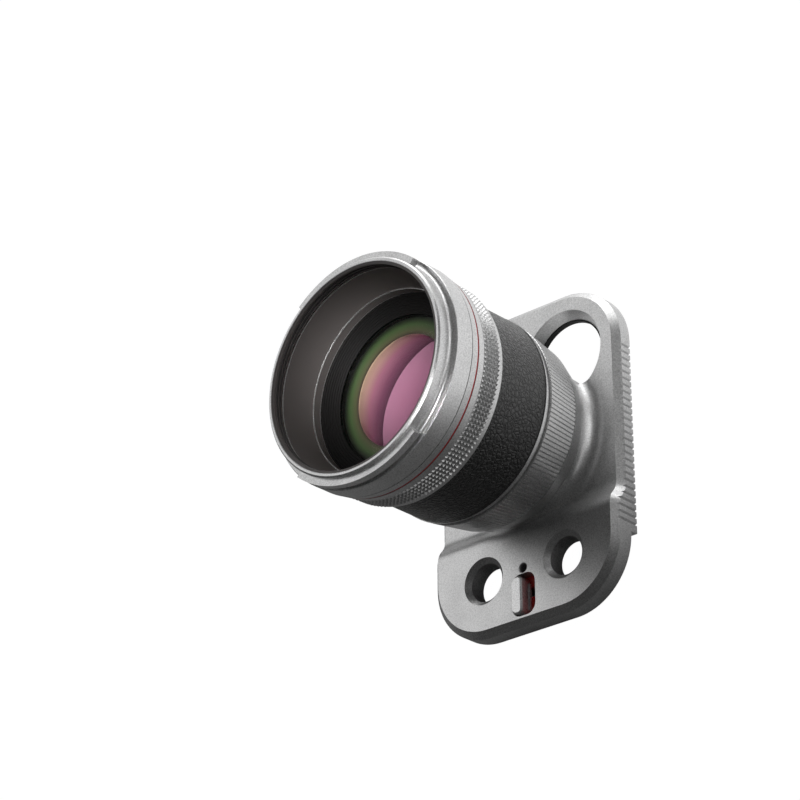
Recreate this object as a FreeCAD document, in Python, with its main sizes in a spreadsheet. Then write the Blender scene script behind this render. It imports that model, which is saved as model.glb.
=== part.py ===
import FreeCAD, Part
import math
import os
import Sketcher

# Phone telephoto lens: an afocal converter lens on an adapter plate that clamps on a phone's back.
# Millimetres. The optical axis is +Z, towards the scene. z = 0 is the rear edge of the plate's skirt,
# which faces the phone, and +Y is the end of the plate with the large round window.

doc = FreeCAD.newDocument("PhoneTelephotoLens")
sheet = doc.addObject("Spreadsheet::Sheet", "Sizes")

# Driving dimensions, one cell each: alias, value, meaning.
DIMENSIONS = [
    # Adapter plate
    ("plate_half_width", 23.95, "centre to long side"),
    ("plate_top", 32.3, "axis to the upper end"),
    ("plate_bottom", 38.65, "axis to the lower end"),
    ("plate_corner", 14.0, "corner radius of the outline"),
    ("plate_chamfer", 1.4, "bevel round the front edge"),
    ("skirt_depth", 1.9, "skirt height behind the plate"),
    ("skirt_wall", 1.8, "skirt thickness"),
    ("skirt_end", 24.3, "axis to the skirt's lower ends"),
    ("upper_plate", 2.35, "plate thickness round the lens"),
    ("lower_rise", 2.36, "how much prouder the lower pad is"),
    ("ramp_start", 13.4, "axis to the foot of the ramp"),
    ("ramp_end", 19.3, "axis to the top of the ramp"),
    ("grip_count", 27, "grip grooves on each side"),
    ("grip_pitch", 1.5, "groove spacing"),
    ("grip_depth", 0.45, "groove depth"),
    ("grip_width", 0.7, "groove width"),
    ("grip_first", 16.65, "axis to the first groove"),
    ("window_x", 9.8, "window centre"),
    ("window_y", 18.13, "window centre"),
    ("window_front", 10.02, "window radius at the front"),
    ("window_back", 8.7, "window radius at the back"),
    ("hole_x", 10.35, "side bores from the centre line"),
    ("hole_y", 26.66, "side bores below the axis"),
    ("hole_radius", 4.05, "side bore radius"),
    ("hole_mouth", 1.05, "bevel of a side bore's mouth"),
    ("dot_y", 26.65, "small hole below the axis"),
    ("dot_radius", 0.9, "small hole radius"),
    ("dot_bevel", 0.2, "bevel of the small hole"),
    # Boss that carries the lens
    ("boss_radius", 17.0, "outside of the boss"),
    ("boss_flare", 3.2, "radius of the hollow curve at its foot"),
    ("boss_height", 3.75, "boss top above the upper face"),
    ("boss_edge", 0.3, "bevel on the boss top"),
    ("socket_radius", 15.8, "seat of the socket ring"),
    ("socket_thickness", 2.2, "socket ring thickness"),
    ("neck_bore", 14.7, "bore behind the socket ring"),
    # Mount
    ("neck_radius", 13.4, "lens neck through the socket"),
    ("neck_clearance", 0.15, "neck to socket"),
    ("tab_reach", 1.0, "bayonet tab beyond the neck"),
    ("tab_thickness", 1.2, "bayonet tab thickness"),
    ("tab_play", 0.05, "tab to socket ring"),
    ("tab_angle", 42.0, "width of a bayonet tab, degrees"),
    ("tab_count", 3, "bayonet tabs"),
    ("gap_angle", 48.0, "width of a gap in the socket, degrees"),
    ("gap_turn", 60.0, "turn of a gap from a locked tab, degrees"),
    ("lens_gap", 1.05, "boss top to the lens barrel's rear edge"),
    ("flange_radius", 16.6, "mount flange seated on the boss"),
    ("tail_lip", 1.2, "inner lip of the fluted ring on the flange"),
    ("tail_floor", 2.2, "floor of the fluted ring"),
    ("barrel_step", 2.4, "main barrel spigot inside the fluted ring"),
    ("barrel_seat", 4.2, "depth of the step that the stack rests on"),
    ("collar_wall", 1.4, "collar of the mount round the rear glass"),
    # Lens body, heights from the boss top gap upward
    ("tail_height", 4.45, "plain rear cone"),
    ("tail_radius", 20.1, "rear cone at the flutes"),
    ("tail_end_radius", 18.7, "rear cone at its rear edge"),
    ("tail_bevel", 0.6, "bevel round the rear edge"),
    ("flute_height", 9.05, "fluted ring height"),
    ("flute_front_radius", 21.58, "fluted ring, front"),
    ("flute_back_radius", 20.22, "fluted ring, back"),
    ("flute_count", 150, "flutes round the ring"),
    ("flute_depth", 0.3, "flute depth"),
    ("flute_width", 0.38, "flute width"),
    ("band_height", 1.5, "plain dark band"),
    ("band_step", 0.05, "plain dark band beyond the tube under the leather"),
    ("collar_height", 0.2, "bright collar behind the leather"),
    ("collar_step", 0.15, "bright collar beyond the leather"),
    ("leather_height", 14.5, "leather covering"),
    ("leather_radius", 21.65, "leather covering"),
    ("leather_skin", 0.6, "leather thickness"),
    ("knurl_rear_rim", 1.1, "plain rim behind the knurl"),
    ("knurl_height", 4.8, "knurled band"),
    ("knurl_wall", 2.35, "knurl crests beyond the tube, front"),
    ("knurl_taper", 0.2, "fall of the crests towards the rear"),
    ("knurl_step", 0.35, "plain rim below the rear crests"),
    ("knurl_rows", 5, "rows of studs"),
    ("knurl_count", 150, "studs round the ring"),
    ("knurl_depth", 0.42, "depth of the grooves between studs"),
    ("knurl_width", 0.86, "width of the grooves between studs"),
    ("joint_gap", 0.1, "dark line between two rings"),
    ("taper_height", 3.9, "tapered barrel"),
    ("taper_step", 0.05, "front of the taper below the front barrel"),
    ("accent_offset", 1.95, "front of the taper to the red ring's middle"),
    ("accent_width", 0.5, "red ring"),
    ("accent_groove", 0.35, "depth of the red ring's groove"),
    ("accent_sunk", 0.1, "red ring below the surface"),
    ("barrel_height", 4.6, "front barrel cylinder"),
    ("barrel_wall", 3.0, "front barrel beyond the tube"),
    ("cove_radius", 0.9, "hollow curve between shoulder and rim"),
    ("rim_height", 3.4, "rim in front of the shoulder"),
    ("rim_step", 1.5, "rim below the front barrel"),
    ("rim_bevel", 0.3, "bevel of the rim"),
    ("lug_step", 0.1, "hood lugs below the front barrel"),
    ("lug_angle", 79.0, "width of a hood lug, degrees"),
    ("lug_front", 0.9, "rim front to the lug"),
    ("lug_height", 1.6, "lug height"),
    ("rim_wall", 0.76, "rim thickness at the mouth"),
    ("mouth_bevel", 0.3, "bevel inside the mouth"),
    ("thread_step", 0.69, "thread crests below the mouth, M43 x 0.75"),
    ("thread_length", 2.0, "filter thread length"),
    ("relief_depth", 0.6, "groove behind the thread"),
    ("relief_height", 0.4, "groove behind the thread"),
    ("hood_front_step", 0.2, "front of the dark cone beyond the thread crests"),
    ("hood_back_step", 0.15, "back of the dark cone beyond the bore"),
    ("hood_end", 9.7, "mouth to the back of the dark cone"),
    ("throat_wall", 1.65, "tube round the bore in front of the glass"),
    ("hood_spigot", 0.9, "step of the main barrel under the front parts"),
    ("throat_length", 2.0, "bore between cone and retaining ring"),
    # Glass
    ("stop_radius", 15.36, "clear radius of the front glass"),
    ("stop_drop", 1.3, "fall of the ribbed ring to the glass"),
    ("front_glass_ledge", 1.04, "front glass held beyond its clear radius"),
    ("front_glass_edge", 1.2, "front glass edge thickness"),
    ("front_glass_sag", 1.6, "rise of the front glass"),
    ("front_glass_rest", 0.1, "ring lip above the glass edge"),
    ("cell_play", 0.1, "lens cell to the bore"),
    ("cell_open_radius", 11.7, "cell opening behind the front glass"),
    ("cell_cone_spread", 4.7, "cell cone's growth to the middle glass"),
    ("cell_cone_depth", 12.4, "cell opening to the middle glass rim"),
    ("cell_lip", 0.4, "thickness at the cell opening"),
    ("seat_relief", 0.1, "how far a glass seat is cut back inside its rim"),
    ("middle_glass_ledge", 0.8, "middle glass held beyond the cone"),
    ("middle_glass_edge", 1.6, "middle glass edge thickness"),
    ("middle_glass_sag", 1.2, "rise of the middle glass"),
    ("iris_radius", 12.2, "light arc ring behind the middle glass"),
    ("iris_thickness", 1.2, "stop ring thickness"),
    ("iris_bevel", 1.0, "bevel behind the stop ring's edge"),
    ("rear_glass_ledge", 1.0, "rear doublet held beyond its clear radius"),
    ("rear_glass_edge", 2.0, "edge of the rear doublet's front element"),
    ("rear_glass_dish", 1.2, "hollow of the rear doublet"),
    ("rear_flint_edge", 1.8, "edge of the rear doublet's back element"),
    ("rear_clear_radius", 9.6, "clear radius at the rear"),
    ("rear_lip", 0.7, "lip behind the rear doublet"),
    ("retainer_height", 1.2, "rear retaining ring"),
    ("fit_gap", 0.05, "slip fit between stacked parts"),
    ("overcut", 1.0, "how far a cut runs on past the face"),
    ("root", 0.5, "how deep a feature starts in what it grows from"),
    ("groove_lift", 0.1, "how far outside the surface a V groove starts"),
    ("edge_break", 0.15, "small bevel on turned edges"),
    ("dark_line", 0.25, "groove between two turned surfaces"),
    ("cement_gap", 0.02, "cement layer of the rear doublet"),
    ("cement_dish", 0.8, "curve of the cemented face"),
    ("rear_back_dish", 0.5, "hollow of the last face"),
    # Lock slider in the lower pad
    ("slot_y", 32.35, "slot centre below the axis"),
    ("slot_width", 6.05, "slot, across"),
    ("slot_height", 9.0, "slot, along Y"),
    ("slot_corner", 2.2, "slot corner radius"),
    ("knob_width", 2.8, "knob, across"),
    ("knob_height", 8.1, "knob, along Y"),
    ("knob_proud", 0.6, "knob above the lower face"),
    ("knob_bevel", 0.35, "bevel on the knob"),
    ("knob_corner", 1.6, "knob corner radius, left"),
    ("knob_right_corner", 1.0, "knob corner radius, right"),
    ("slide_travel", 2.7, "travel of the lock slider"),
    ("slide_play", 0.12, "running clearance of the slider"),
    ("stem_width", 1.1, "stem through the red plate, across"),
    ("stem_shift", 0.55, "stem to the left of the knob's centre"),
    ("stem_height", 1.8, "stem, along Y"),
    ("stem_offset", 1.05, "stem above the slot centre"),
    ("knob_lip", 0.35, "small foot on the knob's right side"),
    ("knob_lip_height", 0.5, "height of that foot"),
    ("knob_lip_length", 5.6, "length of that foot, along Y"),
    ("flag_thickness", 0.6, "red plate thickness"),
    ("latch_width", 6.0, "latch plate, across"),
    ("latch_height", 4.7, "latch plate, along Y"),
    ("latch_thickness", 0.8, "latch plate thickness"),
    ("pawl_width", 2.4, "pawl behind the latch plate, across"),
    ("pawl_height", 2.0, "pawl, along Y"),
    ("pawl_offset", 1.2, "pawl below the slot centre"),
    ("pawl_reach", 1.5, "pawl behind the cover"),
    ("latch_screw_radius", 0.35, "latch screw shank"),
    ("latch_head_radius", 0.65, "latch screw head"),
    ("latch_head_height", 0.35, "latch screw head"),
    ("latch_screw_length", 1.5, "latch screw shank length"),
    ("cover_width", 14.4, "slider cover, across"),
    ("cover_height", 8.2, "slider cover, along Y"),
    ("cover_corner", 3.0, "slider cover corner"),
    ("cover_thickness", 0.8, "slider cover thickness"),
    ("cover_drop", 0.55, "cover centre below the slot centre"),
    ("cover_screw_x", 5.9, "cover screws from the centre line"),
    ("screw_radius", 0.6, "small screw shank"),
    ("screw_head_radius", 0.95, "small screw head"),
    ("screw_head_height", 0.4, "small screw head"),
    ("screw_length", 2.6, "small screw length"),
    ("spring_strip", 0.15, "leaf spring thickness"),
    ("spring_span", 7.0, "leaf spring length"),
    ("spring_rise", 0.55, "leaf spring bow"),
    ("spring_width", 0.7, "leaf spring, along the axis"),
    # Pad against the phone
    ("pad_thickness", 1.2, "soft pad"),
    ("pad_inset", 0.2, "pad to skirt"),
    ("pad_end", 21.4, "axis to the pad's lower edge"),
    ("pad_hole", 15.2, "pad hole round the lens"),
    ("pad_window", 8.4, "pad hole at the window"),
]
for row, (alias, value, meaning) in enumerate(DIMENSIONS, start=1):
    sheet.set(f"A{row}", meaning)
    sheet.set(f"B{row}", str(value))
    sheet.setAlias(f"B{row}", alias)

# Heights and sizes that follow from the driving dimensions: alias, formula, meaning.
DERIVED = [
    ("core_radius", "leather_radius - leather_skin", "main barrel under the leather"),
    ("collar_radius", "leather_radius + collar_step", "bright collar"),
    ("band_radius", "core_radius + band_step", "plain dark band"),
    ("knurl_front_radius", "core_radius + knurl_wall", "knurl crests, front"),
    ("knurl_rear_radius", "knurl_front_radius - knurl_taper", "knurl crests, rear"),
    ("knurl_rim_radius", "knurl_rear_radius - knurl_step", "plain rim"),
    ("barrel_radius", "core_radius + barrel_wall", "front barrel"),
    ("taper_front_radius", "barrel_radius - taper_step", "tapered barrel, front"),
    ("rim_radius", "barrel_radius - rim_step", "rim outside"),
    ("lug_radius", "barrel_radius - lug_step", "hood lugs"),
    ("mouth_radius", "rim_radius - rim_wall", "mouth"),
    ("thread_radius", "mouth_radius - thread_step", "filter thread crests"),
    ("relief_radius", "thread_radius + relief_depth", "groove behind the thread"),
    ("hood_front_radius", "thread_radius + hood_front_step", "dark cone, front"),
    ("throat_radius", "core_radius - throat_wall", "barrel bore in front of the glass"),
    ("hood_back_radius", "throat_radius + hood_back_step", "dark cone, back"),
    ("front_glass_radius", "stop_radius + front_glass_ledge", "front glass"),
    ("cell_wall_radius", "throat_radius - cell_play", "lens cell outside"),
    ("cell_cone_radius", "cell_open_radius + cell_cone_spread", "cell cone at the middle glass"),
    ("middle_glass_radius", "cell_cone_radius + middle_glass_ledge", "middle glass"),
    ("rear_glass_radius", "rear_clear_radius + rear_glass_ledge", "rear doublet"),
    ("z_back", "skirt_depth", "back of the plate"),
    ("z_upper", "z_back + upper_plate", "upper face"),
    ("z_lower", "z_upper + lower_rise", "face of the lower pad"),
    ("z_boss", "z_upper + boss_height", "boss top"),
    ("z_socket", "z_boss - socket_thickness", "seat of the socket ring"),
    ("z_tail", "z_boss + lens_gap", "rear edge of the lens body"),
    ("z_flute", "z_tail + tail_height", "back of the flutes"),
    ("z_band", "z_flute + flute_height", "front of the flutes"),
    ("z_collar", "z_band + band_height", "collar"),
    ("z_leather", "z_collar + collar_height", "back of the leather"),
    ("z_knurl_rim", "z_leather + leather_height", "back of the knurled ring"),
    ("z_knurl", "z_knurl_rim + knurl_rear_rim", "back of the knurl"),
    ("z_knurl_front", "z_knurl + knurl_height", "front of the knurl"),
    ("z_taper", "z_knurl_front + joint_gap", "back of the tapered barrel"),
    ("z_barrel", "z_taper + taper_height", "back of the front ring"),
    ("z_shoulder", "z_barrel + barrel_height", "shoulder of the front ring"),
    ("z_mouth", "z_shoulder + rim_height", "front of the lens"),
    ("z_hood", "z_mouth - hood_end", "back of the dark cone"),
    ("z_ribs", "z_hood - throat_length", "outer edge of the ribbed ring"),
    ("z_glass_rim", "z_ribs - stop_drop", "rim of the front glass"),
    ("z_glass_edge", "z_glass_rim - front_glass_rest", "front of the glass edge"),
    ("z_cell_seat", "z_glass_edge - front_glass_edge", "seat of the front glass"),
    ("z_middle", "z_cell_seat - cell_cone_depth", "rim of the middle glass"),
    ("z_middle_back", "z_middle - middle_glass_edge", "back of the middle glass"),
    ("z_iris_back", "z_middle_back - iris_thickness", "back of the stop ring"),
    ("z_neck_end", "z_socket - tab_play - tab_thickness", "rear end of the neck"),
    ("barrel_outer", "core_radius - barrel_step", "main barrel inside the fluted ring"),
    ("barrel_inner", "core_radius - barrel_seat", "bore behind the stack"),
    ("taper_rear_radius", "knurl_front_radius", "tapered barrel, back"),
    ("taper_slope", "(taper_front_radius - taper_rear_radius) / taper_height", "taper per mm"),
    ("z_accent_front", "z_barrel - accent_offset + accent_width / 2", "front of the red ring"),
    ("z_accent_back", "z_accent_front - accent_width", "back of the red ring"),
    ("accent_front_radius", "taper_front_radius - taper_slope * (z_barrel - z_accent_front)",
     "taper at the red ring's front"),
    ("accent_back_radius", "taper_front_radius - taper_slope * (z_barrel - z_accent_back)",
     "taper at the red ring's back"),
    ("z_flag", "z_upper - flag_thickness", "back of the red plate"),
    ("z_cover", "z_back + cover_thickness", "front of the slider cover"),
    ("knob_x", "-slot_width / 2 + slide_play + knob_width / 2", "knob centre at rest"),
    ("stem_x", "knob_x - stem_shift", "stem centre at rest"),
    ("neck_socket_radius", "neck_radius + neck_clearance", "bore of the socket ring"),
    ("z_rear_seat", "z_neck_end + rear_lip", "lip that the rear doublet rests on"),
    ("z_rear_cement", "z_rear_seat + rear_flint_edge", "cemented face at the edge"),
    ("z_rear_glass", "z_rear_cement + rear_glass_edge", "front of the rear doublet"),
    ("z_rear_top", "z_rear_glass + retainer_height", "front of the rear retaining ring"),
    ("z_latch", "z_cover + fit_gap", "back of the latch plate"),
    ("z_latch_front", "z_latch + latch_thickness", "front of the latch plate"),
    ("spring_y", "-slot_y + latch_height / 2 + slide_play", "edge of the spring's room"),
]
for row, (alias, formula, meaning) in enumerate(DERIVED, start=len(DIMENSIONS) + 1):
    sheet.set(f"A{row}", meaning)
    sheet.set(f"B{row}", "=" + formula)
    sheet.setAlias(f"B{row}", alias)
doc.recompute()

ALIASES = sorted([entry[0] for entry in DIMENSIONS + DERIVED], key=len, reverse=True)
SMALL = 1e-6


def size(alias):
    """Value of one cell of the sheet."""
    return float(getattr(sheet, alias))


def cells(formula):
    """The formula with each size written as a cell of the sheet."""
    words = []
    word = ""
    for letter in str(formula) + " ":
        if letter.isalnum() or letter in "_.":
            word += letter
            continue
        words.append("Sizes." + word if word in ALIASES else word)
        words.append(letter)
        word = ""
    return "".join(words).strip()


def value(formula):
    """Number that a formula of sizes gives now."""
    return float(sheet.evalExpression(cells(formula)))


def origin_plane(body, role):
    for feature in body.Origin.OriginFeatures:
        if feature.Role == role:
            return feature
    raise ValueError(role)


def new_body(name):
    body = doc.addObject("PartDesign::Body", name)
    body.Label = name
    return body


def new_sketch(body, name, plane="XY_Plane", height=None):
    """Sketch on one of the body's origin planes, raised along its normal by a formula."""
    sketch = body.newObject("Sketcher::SketchObject", name)
    sketch.AttachmentSupport = [(origin_plane(body, plane), "")]
    sketch.MapMode = "FlatFace"
    if height is not None:
        sketch.setExpression(".AttachmentOffset.Base.z", cells(height))
    return sketch


def pin_point(sketch, index, corner, across, along):
    """Tie one corner of a sketch to formulas for its two coordinates."""
    for kind, formula, axis in (("DistanceX", across, -2), ("DistanceY", along, -1)):
        number = value(formula)
        if abs(number) < SMALL:
            sketch.addConstraint(Sketcher.Constraint("PointOnObject", index, corner, axis))
            continue
        place = sketch.addConstraint(Sketcher.Constraint(kind, -1, 1, index, corner, number))
        sketch.setExpression(f"Constraints[{place}]", cells(formula))


def draw_outline(sketch, corners):
    """Closed outline through corners (across, along) or (across, along, radius).

    A radius, in the corner that starts an edge, makes that edge an arc: a positive one turns
    anticlockwise and a negative one clockwise."""
    points = [(value(c[0]), value(c[1])) for c in corners]
    count = len(corners)
    for i, corner in enumerate(corners):
        start = FreeCAD.Vector(*points[i], 0)
        end = FreeCAD.Vector(*points[(i + 1) % count], 0)
        if len(corner) == 2:
            sketch.addGeometry(Part.LineSegment(start, end))
            continue
        radius = value(corner[2])
        chord = end - start
        side = FreeCAD.Vector(-chord.y, chord.x, 0).normalize()
        reach = math.sqrt(max(radius**2 - (chord.Length / 2) ** 2, 0.0))
        centre = (start + end) / 2 + side * (reach if radius > 0 else -reach)
        bulge = ((start + end) / 2 - centre)
        if bulge.Length < SMALL:
            bulge = side * -radius
        middle = centre + bulge.normalize() * abs(radius)
        sketch.addGeometry(Part.Arc(start, middle, end))
    for i, corner in enumerate(corners):
        following = (i + 1) % count
        clockwise = len(corner) == 3 and value(corner[2]) < 0
        end = 1 if clockwise else 2
        next_clockwise = len(corners[following]) == 3 and value(corners[following][2]) < 0
        start = 2 if next_clockwise else 1
        sketch.addConstraint(Sketcher.Constraint("Coincident", i, end, following, start))
    for i, corner in enumerate(corners):
        clockwise = len(corner) == 3 and value(corner[2]) < 0
        pin_point(sketch, i, 2 if clockwise else 1, corner[0], corner[1])
        if len(corner) == 3:
            place = sketch.addConstraint(Sketcher.Constraint("Radius", i, abs(value(corner[2]))))
            sketch.setExpression(f"Constraints[{place}]", cells(f"abs({corner[2]})"))


def draw_outline_inside(sketch, corners):
    """Straight-sided opening inside an outline already drawn."""
    first = sketch.GeometryCount
    points = [FreeCAD.Vector(value(across), value(along), 0) for across, along in corners]
    count = len(corners)
    for i in range(count):
        sketch.addGeometry(Part.LineSegment(points[i], points[(i + 1) % count]))
    for i, (across, along) in enumerate(corners):
        sketch.addConstraint(
            Sketcher.Constraint("Coincident", first + i, 2, first + (i + 1) % count, 1))
        pin_point(sketch, first + i, 1, across, along)


def draw_circle(sketch, radius, across="0", along="0"):
    centre = FreeCAD.Vector(value(across), value(along), 0)
    circle = Part.Circle(centre, FreeCAD.Vector(0, 0, 1), value(radius))
    index = sketch.addGeometry(circle)
    place = sketch.addConstraint(Sketcher.Constraint("Radius", index, value(radius)))
    sketch.setExpression(f"Constraints[{place}]", cells(radius))
    pin_point(sketch, index, 3, across, along)


def rounded_box(left, right, low, high, corner):
    """Corners of a rectangle with round corners, anticlockwise, for draw_outline."""
    return [
        (f"{left} + {corner}", low),
        (f"{right} - {corner}", low, corner),
        (right, f"{low} + {corner}"),
        (right, f"{high} - {corner}", corner),
        (f"{right} - {corner}", high),
        (f"{left} + {corner}", high, corner),
        (left, f"{high} - {corner}"),
        (left, f"{low} + {corner}", corner),
    ]


def rectangle(left, right, low, high):
    """Corners of a rectangle, anticlockwise, for draw_outline."""
    return [(left, low), (right, low), (right, high), (left, high)]


def turn(body, name, corners):
    """Turn a half section, (radius, height) corners, round the optical axis."""
    sketch = new_sketch(body, name + "_section", "XZ_Plane")
    draw_outline(sketch, corners)
    turned = body.newObject("PartDesign::Revolution", name)
    turned.Profile = sketch
    turned.ReferenceAxis = (sketch, ["V_Axis"])
    turned.Angle = 360
    return turned


def groove(body, name, corners):
    """Turn a half section away from the body."""
    sketch = new_sketch(body, name + "_section", "XZ_Plane")
    draw_outline(sketch, corners)
    cut = body.newObject("PartDesign::Groove", name)
    cut.Profile = sketch
    cut.ReferenceAxis = (sketch, ["V_Axis"])
    cut.Angle = 360
    return cut


def turned_piece(name, corners):
    body = new_body(name)
    turn(body, name + "_turned", corners)
    return body


def pad(body, sketch, name, length):
    """Raise a sketch towards the front by a formula."""
    feature = body.newObject("PartDesign::Pad", name)
    feature.Profile = sketch
    feature.setExpression("Length", cells(length))
    return feature


def pocket(body, sketch, name, depth=None, towards_front=False):
    """Cut a sketch away backwards or towards the front, right through when no depth is given."""
    feature = body.newObject("PartDesign::Pocket", name)
    feature.Profile = sketch
    if depth is None:
        feature.Type = "ThroughAll"
    else:
        feature.setExpression("Length", cells(depth))
    feature.Reversed = towards_front
    return feature


def sector(radius, half_angle, turn_angle):
    """Corners of a wedge from the axis, degrees, for draw_outline."""
    low = f"{turn_angle} - {half_angle}"
    high = f"{turn_angle} + {half_angle}"
    return [
        ("0", "0"),
        (f"{radius} * cos(({low}) * 1deg)", f"{radius} * sin(({low}) * 1deg)", radius),
        (f"{radius} * cos(({high}) * 1deg)", f"{radius} * sin(({high}) * 1deg)"),
    ]


def v_grooves(body, name, count, depth, width, back, front):
    """V grooves along a tapered surface, repeated round it; back and front are (radius, height)."""
    sections = []
    for end, (radius, height) in (("back", back), ("front", front)):
        sketch = new_sketch(body, f"{name}_{end}", "XY_Plane", height)
        draw_outline(sketch, [
            (f"{radius} - {depth}", "0"),
            (f"{radius} + groove_lift", f"-{width} / 2"),
            (f"{radius} + groove_lift", f"{width} / 2"),
        ])
        sections.append(sketch)
    first = body.newObject("PartDesign::SubtractiveLoft", name)
    first.Profile = sections[0]
    first.Sections = [sections[1]]
    first.Ruled = True
    return polar(body, first, name + "s", count, sections[0])


def polar(body, feature, name, count, plane_sketch):
    """Repeat a feature round the optical axis."""
    pattern = body.newObject("PartDesign::PolarPattern", name)
    pattern.Originals = [feature]
    pattern.Axis = (plane_sketch, ["N_Axis"])
    pattern.Angle = 360
    pattern.setExpression("Occurrences", cells(count))
    body.Tip = pattern
    return pattern


# Adapter plate: a milled aluminium plate with a prouder lower pad, a hollow-flared boss and a skirt.
def make_adapter_plate():
    body = new_body("adapter_plate")
    outline = rounded_box("-plate_half_width", "plate_half_width", "-plate_bottom", "plate_top",
                          "plate_corner")
    blank_sketch = new_sketch(body, "plate_outline")
    draw_outline(blank_sketch, outline)
    pad(body, blank_sketch, "plate_blank", "z_lower")

    # The upper face is milled down from the lower pad's height, with an S-shaped ramp between.
    ramp_radius = "((ramp_end - ramp_start)^2 + lower_rise^2) / (4 * lower_rise)"
    middle_y = "-(ramp_start + ramp_end) / 2"
    middle_z = "(z_upper + z_lower) / 2"
    face_sketch = new_sketch(body, "upper_face_section", "YZ_Plane")
    draw_outline(face_sketch, [
        ("-ramp_end", "z_lower", ramp_radius.join(["-(", ")"])),
        (middle_y, middle_z, ramp_radius),
        ("-ramp_start", "z_upper"),
        ("plate_top + overcut", "z_upper"),
        ("plate_top + overcut", "z_lower + overcut"),
        ("-ramp_end", "z_lower + overcut"),
    ])
    face = body.newObject("PartDesign::Pocket", "upper_face")
    face.Profile = face_sketch
    face.Midplane = True
    face.setExpression("Length", cells("2 * (plate_half_width + overcut)"))
    doc.recompute()

    # The bevel runs round the whole front edge, over the ramp too.
    top_z = size("z_upper") - SMALL
    side = size("plate_half_width") - size("plate_corner")
    names = []
    for number, edge in enumerate(face.Shape.Edges, start=1):
        extent = edge.BoundBox
        on_rim = all(
            abs(abs(v.Point.x) - size("plate_half_width")) < SMALL or abs(v.Point.x) < side + SMALL
            for v in edge.Vertexes
        )
        across = extent.XLength > 2 * size("plate_half_width") - SMALL
        if extent.ZMin > top_z and on_rim and not across:
            names.append(f"Edge{number}")
    bevel = body.newObject("PartDesign::Chamfer", "front_bevel")
    bevel.Base = (face, names)
    bevel.setExpression("Size", cells("plate_chamfer"))

    turn(body, "boss_flare_ring", [
        ("boss_radius - root", "z_back"),
        ("boss_radius + boss_flare", "z_back"),
        ("boss_radius + boss_flare", "z_upper", "-boss_flare"),
        ("boss_radius", "z_upper + boss_flare"),
        ("boss_radius - root", "z_upper + boss_flare"),
    ])

    # The window is a cone through the plate, and it cuts the foot of the boss as far as its wall.
    window_sketch = new_sketch(body, "window_back_circle", "XY_Plane", "z_back")
    draw_circle(window_sketch, "window_back", "window_x", "window_y")
    window_front_sketch = new_sketch(body, "window_front_circle", "XY_Plane", "z_upper")
    draw_circle(window_front_sketch, "window_front", "window_x", "window_y")
    window = body.newObject("PartDesign::SubtractiveLoft", "window")
    window.Profile = window_sketch
    window.Sections = [window_front_sketch]
    window.Ruled = True
    over_sketch = new_sketch(body, "window_over_circle", "XY_Plane", "z_upper")
    draw_circle(over_sketch, "window_front", "window_x", "window_y")
    pocket(body, over_sketch, "window_over", "boss_height", towards_front=True)
    under_sketch = new_sketch(body, "window_under_circle")
    draw_circle(under_sketch, "window_back", "window_x", "window_y")
    pocket(body, under_sketch, "window_under", "z_back", towards_front=True)

    turn(body, "boss_wall", [
        ("neck_bore - root", "z_back"),
        ("boss_radius", "z_back"),
        ("boss_radius", "z_boss - boss_edge"),
        ("boss_radius - boss_edge", "z_boss"),
        ("neck_bore - root", "z_boss"),
    ])
    groove(body, "socket_bore", [
        ("0", "-overcut"),
        ("neck_bore", "-overcut"),
        ("neck_bore", "z_socket"),
        ("socket_radius", "z_socket"),
        ("socket_radius", "z_boss + overcut"),
        ("0", "z_boss + overcut"),
    ])

    # The back is milled out inside the skirt, and the skirt is absent below the plate's middle.
    recess_sketch = new_sketch(body, "recess_outline")
    inner = "(plate_half_width - skirt_wall)"
    inner_corner = "(plate_corner - skirt_wall)"
    draw_outline(recess_sketch, [
        ("-plate_half_width - overcut", "-plate_bottom - overcut"),
        ("plate_half_width + overcut", "-plate_bottom - overcut"),
        ("plate_half_width + overcut", "-skirt_end"),
        (inner, "-skirt_end"),
        (inner, "plate_top - plate_corner", inner_corner),
        (f"{inner} - {inner_corner}", "plate_top - skirt_wall"),
        (f"-({inner} - {inner_corner})", "plate_top - skirt_wall", inner_corner),
        (f"-{inner}", "plate_top - plate_corner"),
        (f"-{inner}", "-skirt_end"),
        ("-plate_half_width - overcut", "-skirt_end"),
    ])
    pocket(body, recess_sketch, "recess", "z_back", towards_front=True)

    holes_sketch = new_sketch(body, "side_bore_circles", "XY_Plane", "z_lower")
    draw_circle(holes_sketch, "hole_radius", "hole_x", "-hole_y")
    draw_circle(holes_sketch, "hole_radius", "-hole_x", "-hole_y")
    draw_circle(holes_sketch, "dot_radius", "0", "-dot_y")
    pocket(body, holes_sketch, "side_bores")
    doc.recompute()
    base = body.Tip
    for name, radius, bevel_size in (
        ("side_bore_mouths", "hole_radius", "hole_mouth"),
        ("small_hole_mouth", "dot_radius", "dot_bevel"),
    ):
        mouths = []
        for number, edge in enumerate(base.Shape.Edges, start=1):
            ring = edge.Curve.TypeId == "Part::GeomCircle" and abs(edge.Curve.Radius - size(radius)) < SMALL
            if ring and abs(edge.BoundBox.ZMin - size("z_lower")) < SMALL:
                mouths.append(f"Edge{number}")
        mouth = body.newObject("PartDesign::Chamfer", name)
        mouth.Base = (base, mouths)
        mouth.setExpression("Size", cells(bevel_size))
        doc.recompute()
        base = body.Tip

    slot_sketch = new_sketch(body, "slot_outline", "XY_Plane", "z_lower")
    draw_outline(slot_sketch, rounded_box(
        "-slot_width / 2", "slot_width / 2",
        "-slot_y - slot_height / 2", "-slot_y + slot_height / 2", "slot_corner"))
    pocket(body, slot_sketch, "slot", "lower_rise + flag_thickness")

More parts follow.
